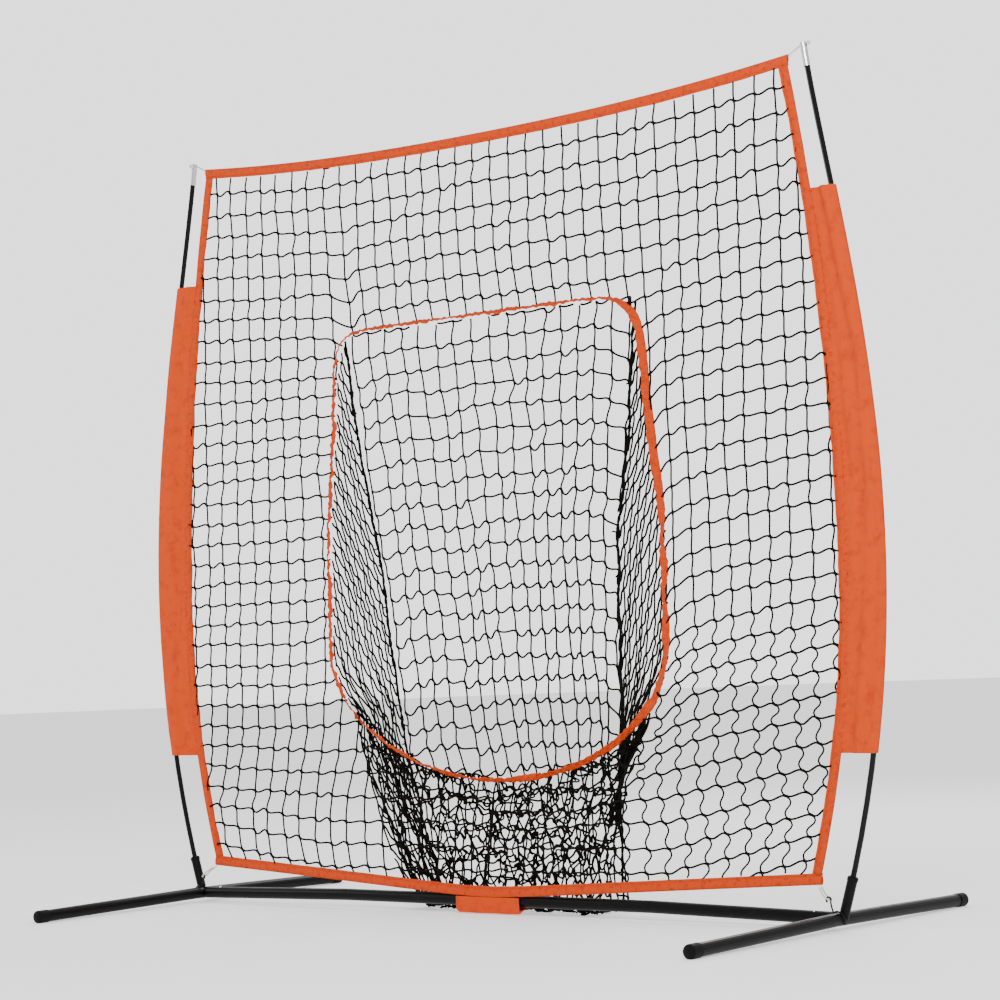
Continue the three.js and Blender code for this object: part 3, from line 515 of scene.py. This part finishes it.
def mouth_line(count):
    """Middle line of the ribbon as evenly spaced points, with headings out of the mouth."""
    turn = np.linspace(0, 2 * np.pi, 20001)[:-1]
    across, upward = np.cos(turn), np.sin(turn)
    power = 2 / mouth_power(across, upward > 0)
    reach = np.where(upward > 0, MOUTH_RISE, MOUTH_DROP)
    z = MOUTH_WAIST + reach * np.sign(upward) * np.abs(upward) ** power
    x = mouth_half(across, z) * np.sign(across) * np.abs(across) ** power
    closed = np.stack([np.append(x, x[0]), np.append(z, z[0])], -1)
    along = np.append(0, np.cumsum(np.linalg.norm(np.diff(closed, axis=0), axis=1)))
    even = np.linspace(0, along[-1], count, endpoint=False)
    spots = np.stack([np.interp(even, along, closed[:, k]) for k in (0, 1)], -1)
    for _ in range(12):
        spots = (np.roll(spots, -1, 0) + 2 * spots + np.roll(spots, 1, 0)) / 4
    step = np.roll(spots, -1, 0) - np.roll(spots, 1, 0)
    outward = np.stack([step[:, 1], -step[:, 0]], -1)
    outward /= np.linalg.norm(outward, axis=1, keepdims=True)
    return spots, outward, even, float(along[-1])


def build_ribbon(material):
    """Ribbon sewn round the mouth: its outer edge is drawn back, and it rolls and puckers."""
    count = 1100
    spots, outward, along, length = mouth_line(count)
    x, z = spots[:, 0], spots[:, 1]
    top = smooth(1.50, 1.575, z)
    bottom = smooth(0.62, 0.50, z)
    turn = 2 * np.pi * along / length
    ruffle = sum(np.sin(turn * k + 1.7 * k) / 2 for k in (41, 67, 97, 133))
    slow = (np.sin(turn * 9 + 0.5) + np.sin(turn * 17 + 2.1) + np.sin(turn * 29)) / 2
    low_right = smooth(0.3, 0.5, x) * smooth(1.10, 0.95, z)
    lean = 26 + 9 * slow + 7 * ruffle
    lean = mix(lean, -20 + 26 * slow, low_right)
    lean = mix(lean, 62 + 10 * slow + 5 * ruffle, top)
    lean = mix(lean, 56 + 14 * slow + 4 * ruffle, bottom)
    twist = np.radians(lean)
    scallop = 1.06 + 0.07 * ruffle
    across = np.linspace(-1, 1, 7)
    heading = np.stack([outward[:, 0] * np.cos(twist), np.sin(twist), outward[:, 1] * np.cos(twist)], -1)
    normal = np.stack([outward[:, 0] * np.sin(twist), -np.cos(twist), outward[:, 1] * np.sin(twist)], -1)
    forward = RIBBON / 2 * np.abs(np.sin(twist)) + 0.0030
    middle = net_point(x, MOUTH_DEPTH - forward, z) + normal * (0.0010 * ruffle)[:, None]
    line = []
    for sign, order in ((1, across), (-1, across[::-1])):
        for w in order:
            pucker = 0.0013 * np.sin(turn * 151 + 4.5 * w) + 0.0010 * np.sin(turn * 233 - 3 * w + 1)
            curl = (0.0016 * np.sin(turn * 37 + 1) + 0.0008 * slow) * (w * w - 0.4)
            spot = middle + heading * (w * RIBBON / 2 * scallop)[:, None]
            line.append(spot + normal * (pucker + curl + sign * 0.0005)[:, None])
    rings = np.stack(line, 1)
    around = np.append(np.linspace(0, RIBBON, 7), np.linspace(RIBBON, 0, 7))
    around = np.append(around, 0)
    skin = Skin()
    skin.grid(rings, (np.append(along, length), around), loop=True)
    piece = skin.piece("mouth_ribbon", material, "orange_webbing", "mouth_binding")
    return length


def pole_points(side, count=600):
    """The pole's centre line, as the CAD bends it."""
    foot, tip = np.array([1.0835, 0.034]), np.array([1.0565, 2.120])
    low_lean, high_lean = np.radians(18.4), np.radians(8.9)
    low_pull, high_pull = 0.911, 0.510
    ends = [foot, foot + low_pull * np.array([np.sin(low_lean), np.cos(low_lean)]),
            tip + high_pull * np.array([np.sin(high_lean), -np.cos(high_lean)]), tip]
    t = np.linspace(0, 1, count)[:, None]
    weights = ((1 - t) ** 3, 3 * (1 - t) ** 2 * t, 3 * (1 - t) * t * t, t**3)
    curve = sum(weight * end for weight, end in zip(weights, ends))
    return net_point(side * curve[:, 0], 0, curve[:, 1])


def build_sleeve(side, name, material):
    """Sleeve of doubled cloth: a loose channel round the pole, sewn flat along the edging."""
    pole = pole_points(side)
    heights = np.linspace(SLEEVE_FOOT, SLEEVE_TOP, 420)
    pole_x = np.interp(heights, pole[:, 2], np.abs(pole[:, 0]))
    seam = edge_x(heights) + 0.016
    outer = pole_x + 0.0125
    w = np.linspace(0, 1, 19)[None]
    along = (heights - heights[0])[:, None]
    pucker = 0.0026 * np.sin(along * 2 * np.pi / 0.021 + 1.6 * np.sin(along * 37)) * np.exp(-w / 0.17)
    billow = 0.0058 * np.sin(along * 11 + 4 * w + 1.4 * np.sin(along * 7 + side)) * np.sin(np.pi * w)
    folds = 0.0034 * np.sin(w * 15 + 2.2 * np.sin(along * 4.2 + side) + 1) * np.sin(np.pi * w)
    reach = ((along * 6.5 - 3.1 * w + 0.4 * np.sin(along * 19)) % 1.3 - 0.5) / 0.08
    crease = 0.0050 * np.exp(-(reach**2)) * np.sin(np.pi * w) * (0.6 + 0.4 * np.sin(along * 23))
    x = mix(seam[:, None], outer[:, None], w)
    round_off = np.clip((x - pole_x[:, None]) / (outer - pole_x)[:, None], 0, 1)
    swell = 0.0018 + 0.0108 * smooth(0.10, 0.80, w)
    half = swell * np.sqrt(np.maximum(1 - round_off**2, 0))
    calm = 0.4 + 0.6 * (1 - round_off)
    middle = LEAN * heights[:, None] + SHIFT
    level = np.broadcast_to(heights[:, None], x.shape)
    fore = middle - half + (pucker + billow + folds - crease) * calm
    aft = np.maximum(middle + half + (pucker - 0.7 * billow - crease) * calm, fore + 0.0006)
    inward = np.minimum(0.0010, (aft - fore) / 2.5)
    narrow = side * (x - 0.0010 * smooth(0.85, 1.0, w))
    front, back = (np.stack([side * x, y, level], -1) for y in (fore, aft))
    front_in, back_in = (np.stack([narrow, y, level], -1) for y in (fore + inward, aft - inward))
    loop = np.concatenate([front, back[:, ::-1][:, 1:], back_in[:, 1:], front_in[:, ::-1][:, 1:]], 1)
    ring = loop[len(loop) // 2]
    around = np.linalg.norm(np.diff(np.vstack([ring, ring[:1]]), axis=0), axis=1)
    skin = Skin()
    skin.grid(loop, (along[:, 0], np.append(0, np.cumsum(around))))
    piece = skin.piece(f"{name}_sleeve", material, "orange_cloth", f"{name}_pole_sleeve")
    width = float(2 * np.mean(outer - seam) + 0.014)
    return width


def build_strap(material):
    """The tab over the crossbar: rounded corners, slack before the tube and tight under it."""
    cloth = floor_gap = 0.0012
    corner, cut = 0.12, 0.010          # share of the half width that is rounded, and its height
    fold = [(-0.0200, 0.0460), (-0.0206, 0.0330), (-0.0200, 0.0160), (-0.0178, 0.0068),
            (-0.0140, 0.0026), (-0.0100, 0.0034), (0.0030, 0.0142), (0.0100, 0.0150), (0.0165, 0.0152)]
    line = np.array(fold) + (SHIFT, 0)
    length = np.append(0, np.cumsum(np.linalg.norm(np.diff(line, axis=0), axis=1)))
    fine = np.linspace(0, length[-1], 40)
    y, z = (np.interp(fine, length, line[:, k]) for k in (0, 1))
    step = np.gradient(np.stack([y, z], -1), axis=0)
    step /= np.linalg.norm(step, axis=1, keepdims=True)
    normal = np.stack([step[:, 1], -step[:, 0]], -1)
    x = np.linspace(-STRAP_HALF, STRAP_HALF, 61)
    rings = []
    for spot in x:
        bulge = 0.0009 * np.sin(spot * 70 + 1) * np.sin(np.pi * np.clip(fine / 0.05, 0, 1))
        across = np.full_like(y, spot + STRAP_MIDDLE)
        outer = np.stack([across, y - normal[:, 0] * bulge, z - normal[:, 1] * bulge], -1)
        inner = outer - cloth * np.stack([0 * y, normal[:, 0], normal[:, 1]], -1)
        share = max(abs(spot) / STRAP_HALF - 1 + corner, 0) / corner
        trim = cut * (1 - math.sqrt(max(1 - share**2, 0)))
        outer[:, 2] = np.maximum(outer[:, 2], floor_gap + trim)
        inner[:, 2] = np.maximum(inner[:, 2], floor_gap + 0.0010 + trim)
        rings.append(np.concatenate([outer, inner[::-1]]))
    rings = np.stack(rings)
    around = np.concatenate([fine, fine[::-1], [0]])
    skin = Skin()
    skin.grid(rings, (x + STRAP_HALF, around))
    piece = skin.piece("strap_cloth", material, "orange_cloth", "strap_tab")
    return float(length[-1])


def build_flap(cloth, hook_tape_and_shade):
    """The flap that closes the strap behind the crossbar, with black hook tape on its inner face, which also
    serves as painted shade there.
    """
    rise = np.linspace(FLAP_FOOT, FLAP_TOP, 24)[None]
    x = np.linspace(-STRAP_HALF, STRAP_HALF, 61)[:, None]
    end = np.abs(x) / STRAP_HALF
    wave = 0.0012 * np.sin(x * 55 + 1) * smooth(0.020, 0.050, rise) + 0.0007 * np.sin(x * 120 + rise * 90)
    height = rise - 0.010 * smooth(0.86, 1.0, end) ** 2 * smooth(0.03, FLAP_TOP, rise)
    plane = SHIFT + 0.0192 + wave
    across = np.broadcast_to(x + STRAP_MIDDLE, wave.shape)

    def leaf(near, far, part):
        """One layer of the flap, from depth near to depth far behind its plane."""
        fore, aft = (np.stack([across, plane + y, height], -1)[part] for y in (near, far))
        skin = Skin()
        sides = fore.shape[1]
        pitch = 0.0018
        around = np.append(np.arange(sides), np.arange(sides)[::-1]) * pitch
        skin.grid(np.concatenate([fore, aft[:, ::-1]], 1), (x[part[0], 0] + STRAP_HALF, np.append(around, 0)))
        return skin

    outside = leaf(-0.0001, 0.0010, np.s_[:, :])
    piece = outside.piece("flap_cloth", cloth, "orange_cloth", "strap_flap", body="strap_flap")
    # black hook tape, and also a dark layer painted in for the shade on the flap's inner face
    inside = leaf(-0.0013, -0.0002, np.s_[3:-3, 6:-2])
    inside.piece("flap_hook_tape", hook_tape_and_shade, "black_plastic", body="strap_flap")


# ---------------------------------------------------------------- elastics


def bend(points, count):
    """Smooth line through points."""
    points = np.asarray(points, float)
    ends = np.vstack([2 * points[0] - points[1], points, 2 * points[-1] - points[-2]])
    t = np.linspace(0, len(points) - 1, count)
    k = np.minimum(t.astype(int), len(points) - 2)
    t = (t - k)[:, None]
    a, b, c, d = (ends[k + step] for step in range(4))
    return 0.5 * (2 * b + (c - a) * t + (2 * a - 5 * b + 4 * c - d) * t**2 + (3 * b - a - 3 * c + d) * t**3)


def braided(skin, line, radius, up, pitch=0.0075):
    """Cord of three strands wound round each other."""
    step = np.gradient(line, axis=0)
    step /= np.linalg.norm(step, axis=1, keepdims=True)
    across = np.cross(step, up)
    across /= np.linalg.norm(across, axis=1, keepdims=True)
    other = np.cross(step, across)
    along = np.append(0, np.cumsum(np.linalg.norm(np.diff(line, axis=0), axis=1)))
    for strand in range(3):
        turn = (along / pitch + strand / 3) * 2 * np.pi
        offset = across * np.cos(turn)[:, None] + other * np.sin(turn)[:, None]
        skin.tube(line + offset * radius * 0.48, radius * 0.56, up, 6)


def build_elastics(side, name, material):
    """White elastic loops: from the net's upper corner through the pole's tip to a knot, and
    from its lower corner round the eye of the ground hook."""
    corner_top = top_edge_z(1.0) - BINDING
    corner_gap, slot_height, knot_reach = 0.0027, 0.0133, 0.0118
    corner_x = edge_x(corner_top) + BINDING + corner_gap
    pole = pole_points(side)
    tip = pole[-1]
    heading = (pole[-1] - pole[-3]) / np.linalg.norm(pole[-1] - pole[-3])
    slot = tip + heading * slot_height
    past = slot + np.array([side * knot_reach, 0, 0])
    start = net_point(side * corner_x, 0.0, top_edge_z(corner_x) - 0.004)
    upper = Skin()
    for shift in (-0.0012, 0.0012):
        braided(upper, bend([start, slot, past], 60) + np.array([0, 0, shift]), 0.0013, (0, 1, 0.2))
    turn = np.linspace(0, 2 * np.pi, 60)
    swing = 0.0032 + 0.0012 * np.cos(3 * turn)
    knot = np.stack([0.0024 * np.sin(3 * turn), swing * np.cos(2 * turn), swing * np.sin(2 * turn)], -1)
    upper.tube(past + np.array([side * 0.003, 0, 0]) + knot, 0.0017, (1, 0.1, 0), 8)
    upper.piece(f"{name}_top_cord", material, "white_elastic", f"{name}_top_elastic")

    low = bottom_edge_z(1.0) + BINDING
    low_x = edge_x(low) + BINDING - 0.003
    foot = np.array([low_x, bottom_edge_z(low_x) - corner_gap])
    eye = np.array([1.0555, 0.072])    # of the ground hook, across and up
    span = float(np.linalg.norm(eye - foot))
    heading = (eye - foot) / span
    way = [(0, 0.001), (span * 0.5, -0.011), (span - 0.003, -0.0145), (span + 0.0005, -0.020),
           (span - 0.003, -0.0268), (span * 0.5, -0.024), (0.004, -0.010)]
    points = []
    for reach, y in way:
        spot = foot + heading * reach
        points.append((side * spot[0], y + SHIFT, spot[1]))
    lower = Skin()
    braided(lower, bend(points, 150), 0.0020, (0, 0.2, 1))
    lower.piece(f"{name}_bottom_cord", material, "white_elastic", f"{name}_bottom_elastic")


# ---------------------------------------------------------------- finishes


def finish_material(name, color, roughness, metallic=0.0, coords="Object"):
    material = bpy.data.materials.new(name)
    material.use_nodes = True
    nodes, links = material.node_tree.nodes, material.node_tree.links
    shader = nodes["Principled BSDF"]
    shader.inputs["Base Color"].default_value = (*color, 1)
    shader.inputs["Roughness"].default_value = roughness
    shader.inputs["Metallic"].default_value = metallic
    place = nodes.new("ShaderNodeTexCoord")
    return material, nodes, links, shader, place.outputs[coords]


def mapped(nodes, links, coords, scale):
    node = nodes.new("ShaderNodeMapping")
    node.inputs["Scale"].default_value = scale
    links.new(coords, node.inputs["Vector"])
    return node.outputs["Vector"]


def noise(nodes, links, vector, scale, detail=4.0, rough=0.55):
    node = nodes.new("ShaderNodeTexNoise")
    node.inputs["Scale"].default_value = scale
    node.inputs["Detail"].default_value = detail
    node.inputs["Roughness"].default_value = rough
    links.new(vector, node.inputs["Vector"])
    return node.outputs["Fac"]


def ramp(nodes, links, value, stops):
    node = nodes.new("ShaderNodeValToRGB")
    elements = node.color_ramp.elements
    elements[0].position, elements[0].color = stops[0][0], (*stops[0][1], 1)
    elements[1].position, elements[1].color = stops[-1][0], (*stops[-1][1], 1)
    for position, color in stops[1:-1]:
        elements.new(position).color = (*color, 1)
    links.new(value, node.inputs["Fac"])
    return node.outputs["Color"]


def spread(nodes, links, value, low, high):
    node = nodes.new("ShaderNodeMapRange")
    node.inputs["To Min"].default_value = low
    node.inputs["To Max"].default_value = high
    links.new(value, node.inputs["Value"])
    return node.outputs["Result"]


def relief(nodes, links, shader, height, strength, distance):
    node = nodes.new("ShaderNodeBump")
    node.inputs["Strength"].default_value = strength
    node.inputs["Distance"].default_value = distance
    links.new(height, node.inputs["Height"])
    links.new(node.outputs["Normal"], shader.inputs["Normal"])


def hard_finish(name, color, worn, roughness, metallic, grain, strength, stretch=(1, 1, 1), coat=0.0):
    """Metal or plastic: fine grain in its relief, uneven gloss, and paler wear in patches."""
    material, nodes, links, shader, place = finish_material(name, color, roughness, metallic)
    vector = mapped(nodes, links, place, stretch)
    fine = noise(nodes, links, vector, grain, 3)
    broad = noise(nodes, links, vector, grain / 45, 6, 0.7)
    scuffs = ramp(nodes, links, broad, [(0.0, color), (0.60, color), (0.78, worn)])
    links.new(scuffs, shader.inputs["Base Color"])
    links.new(spread(nodes, links, broad, roughness - 0.10, roughness + 0.14), shader.inputs["Roughness"])
    shader.inputs["Specular IOR Level"].default_value = 0.5 if metallic else 0.08
    relief(nodes, links, shader, fine, strength, 0.0002)
    if coat:
        shader.inputs["Coat Weight"].default_value = coat
        shader.inputs["Coat Roughness"].default_value = 0.12
    return material


def woven_finish(name, color, painted_crease_shade, threads, strength, crease):
    """Cloth or webbing with its weave and soft creases in the relief, and painted shade that darkens its
    colour in the creases.
    """
    material, nodes, links, shader, place = finish_material(name, color, 0.72, 0.0, "UV")
    waves = []
    for direction, scale in (("X", threads), ("Y", threads * 0.92)):
        wave = nodes.new("ShaderNodeTexWave")
        wave.bands_direction = direction
        wave.inputs["Scale"].default_value = scale
        wave.inputs["Distortion"].default_value = 0.6
        links.new(place, wave.inputs["Vector"])
        waves.append(wave.outputs["Fac"])
    cross = nodes.new("ShaderNodeMath")
    cross.operation = "MULTIPLY"
    links.new(waves[0], cross.inputs[0])
    links.new(waves[1], cross.inputs[1])
    broad = noise(nodes, links, place, crease, 5, 0.62)
    # painted crease shade: the colour darkens where the crease noise is low, standing in for shade in the
    # folds
    tint = ramp(nodes, links, broad, [(0.25, painted_crease_shade), (0.50, color), (0.9, color)])
    links.new(tint, shader.inputs["Base Color"])
    add = nodes.new("ShaderNodeMath")
    add.operation = "MULTIPLY_ADD"
    links.new(broad, add.inputs[0])
    add.inputs[1].default_value = 1.6
    links.new(cross.outputs["Value"], add.inputs[2])
    relief(nodes, links, shader, add.outputs["Value"], strength, 0.0006)
    shader.inputs["Specular IOR Level"].default_value = 0.2
    links.new(spread(nodes, links, broad, 0.60, 0.85), shader.inputs["Roughness"])
    return material


def twine_finish():
    """Black twine: strands slanting round it, with patches of paler greyish brown painted in as a highlight
    of the pale glow on it.
    """
    black = (0.004, 0.004, 0.004)
    material, nodes, links, shader, place = finish_material("netting", black, 0.8, 0.0, "UV")
    wave = nodes.new("ShaderNodeTexWave")
    wave.bands_direction = "DIAGONAL"
    wave.inputs["Scale"].default_value = 260
    wave.inputs["Distortion"].default_value = 1.5
    links.new(place, wave.inputs["Vector"])
    broad = noise(nodes, links, place, 9, 4)
    # painted highlight: patches of paler greyish brown stand in for the pale glow the twine picks up
    tint = ramp(nodes, links, broad, [(0.3, (0.003, 0.003, 0.003)), (0.7, (0.011, 0.010, 0.008))])
    links.new(tint, shader.inputs["Base Color"])
    shader.inputs["Specular IOR Level"].default_value = 0.02
    relief(nodes, links, shader, wave.outputs["Fac"], 0.6, 0.0006)
    links.new(spread(nodes, links, broad, 0.65, 0.9), shader.inputs["Roughness"])
    return material


def braid_finish():
    """Braided elastic cord, off-white and a little dusty."""
    material, nodes, links, shader, place = finish_material("white_elastic", (0.72, 0.68, 0.60), 0.75)
    wave = nodes.new("ShaderNodeTexWave")
    wave.wave_type = "BANDS"
    wave.bands_direction = "DIAGONAL"
    wave.inputs["Scale"].default_value = 170
    links.new(place, wave.inputs["Vector"])
    broad = noise(nodes, links, place, 60, 4)
    tint = ramp(nodes, links, broad, [(0.3, (0.60, 0.55, 0.47)), (0.6, (0.78, 0.74, 0.67))])
    links.new(tint, shader.inputs["Base Color"])
    relief(nodes, links, shader, wave.outputs["Fac"], 0.7, 0.0008)
    return material


def build_finishes():
    """One finish for each material slot of the CAD. A hard one has its colour, the colour of its
    wear, roughness, metal, grain and relief, then how the grain is stretched and its coat."""
    black = (0.003, 0.003, 0.003)
    hard = {
        "black_steel": (black, (0.012, 0.011, 0.010), 0.34, 0.0, 1400, 0.25, (1, 1, 1), 0.03),
        "black_plastic": ((0.004, 0.004, 0.004), (0.020, 0.019, 0.018), 0.55, 0.0, 900, 0.4),
        "zinc_steel": ((0.62, 0.63, 0.64), (0.42, 0.41, 0.38), 0.30, 1.0, 1800, 0.2),
        "chrome": ((0.72, 0.72, 0.73), (0.50, 0.47, 0.42), 0.20, 1.0, 1500, 0.15, (1, 1, 0.08)),
        "fibreglass": (black, (0.010, 0.010, 0.010), 0.20, 0.0, 1600, 0.2, (1, 1, 0.03), 0.15),
        "coated_wire": ((0.012, 0.012, 0.012), (0.05, 0.05, 0.05), 0.38, 0.0, 1100, 0.3),
    }
    # a woven one has its colour, the colour of its painted crease shade, weave scale, relief strength and
    # crease scale
    woven = {
        "orange_cloth": ((0.64, 0.056, 0.0), (0.47, 0.030, 0.0), 420, 0.40, 26),
        "orange_webbing": ((0.62, 0.052, 0.0), (0.36, 0.020, 0.0), 330, 0.55, 60),
    }
    made = {name: hard_finish(name, *look) for name, look in hard.items()}
    made["netting"] = twine_finish()
    made.update({name: woven_finish(name, *look) for name, look in woven.items()})
    made["white_elastic"] = braid_finish()
    return made


def dress_frame(finishes):
    """Gives every CAD node the finish of its slot."""
    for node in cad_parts.values():
        slots = [held.material.name.split(".")[0] for held in node.material_slots]
        for held, slot in zip(node.material_slots, slots):
            held.material = finishes[slot]


# ---------------------------------------------------------------- stage


def build_stage():
    """Pale floor, a backdrop that is brightest where the camera looks, and three soft lights."""
    camera_heading = (-0.632, 0.772, 0.06)
    bpy.ops.mesh.primitive_circle_add(vertices=96, radius=30, fill_type="NGON", location=(0, 0, 0))
    floor = bpy.context.object
    floor.name = "floor"
    material, nodes, links, shader, place = finish_material("floor", (0.86, 0.86, 0.86), 0.9)
    broad = noise(nodes, links, place, 3)
    tint = ramp(nodes, links, broad, [(0.3, (0.85, 0.85, 0.85)), (0.7, (0.87, 0.87, 0.87))])
    links.new(tint, shader.inputs["Base Color"])
    shader.inputs["Emission Color"].default_value = (1, 1, 1, 1)
    shader.inputs["Emission Strength"].default_value = 0.45
    floor.data.materials.append(material)

    world = bpy.data.worlds.new("studio")
    world.use_nodes = True
    nodes, links = world.node_tree.nodes, world.node_tree.links
    nodes["Background"].inputs["Color"].default_value = (1, 1, 1, 1)
    place = nodes.new("ShaderNodeTexCoord")
    facing = nodes.new("ShaderNodeVectorMath")
    facing.operation = "DOT_PRODUCT"
    facing.inputs[1].default_value = camera_heading
    links.new(place.outputs["Generated"], facing.inputs[0])
    backdrop = nodes.new("ShaderNodeMapRange")
    for socket, value in (("From Min", 0.30), ("From Max", 0.95), ("To Min", 0.85), ("To Max", 2.1)):
        backdrop.inputs[socket].default_value = value
    links.new(facing.outputs["Value"], backdrop.inputs["Value"])
    links.new(backdrop.outputs["Result"], nodes["Background"].inputs["Strength"])
    bpy.context.scene.world = world

    # name, place, size and power in watts
    lights = [("key", (3.6, -3.6, 4.2), 2.0, 240), ("fill", (-4.5, -3.0, 2.4), 2.2, 60),
              ("back", (-1.0, 4.2, 3.4), 2.4, 90)]
    for name, spot, size, power in lights:
        data = bpy.data.lights.new(name, "AREA")
        data.shape = "RECTANGLE"
        data.size, data.size_y = size, size * 0.7
        data.energy = power
        lamp = bpy.data.objects.new(name, data)
        bpy.context.scene.collection.objects.link(lamp)
        lamp.location = spot
        lamp.rotation_mode = "QUATERNION"
        lamp.rotation_quaternion = (Vector((0, 0, 1.0)) - Vector(spot)).to_track_quat("-Z", "Y")


def build_camera():
    """The camera stands in front of the net, off to its right, at a low height."""
    place, focal_length = (4.567, -5.4545, 0.708), 97.27
    yaw, pitch, roll = (math.radians(value) for value in (39.32, 3.03, -2.13))
    forward = Vector((-math.sin(yaw) * math.cos(pitch), math.cos(yaw) * math.cos(pitch), math.sin(pitch)))
    right = Vector((math.cos(yaw), math.sin(yaw), 0))
    up = right.cross(forward)
    across = right * math.cos(roll) + up * math.sin(roll)
    upward = up * math.cos(roll) - right * math.sin(roll)
    turn = Matrix((across, upward, -forward)).transposed().to_4x4()
    data = bpy.data.cameras.new("camera")
    data.lens = focal_length
    data.sensor_width = 36
    data.clip_end = 100
    camera = bpy.data.objects.new("camera", data)
    bpy.context.scene.collection.objects.link(camera)
    camera.matrix_world = Matrix.Translation(place) @ turn
    bpy.context.scene.camera = camera


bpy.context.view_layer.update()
finishes = build_finishes()
dress_frame(finishes)
build_netting(finishes["netting"])
sizes = {"tapes": build_tapes(finishes["orange_webbing"]), "ribbon": build_ribbon(finishes["orange_webbing"])}
sizes["sleeve"] = [build_sleeve(side, name, finishes["orange_cloth"]) for side, name in SIDES]
sizes["strap"] = build_strap(finishes["orange_cloth"])
build_flap(finishes["orange_cloth"], finishes["black_plastic"])
for side, name in SIDES:
    build_elastics(side, name, finishes["white_elastic"])
build_stage()
build_camera()
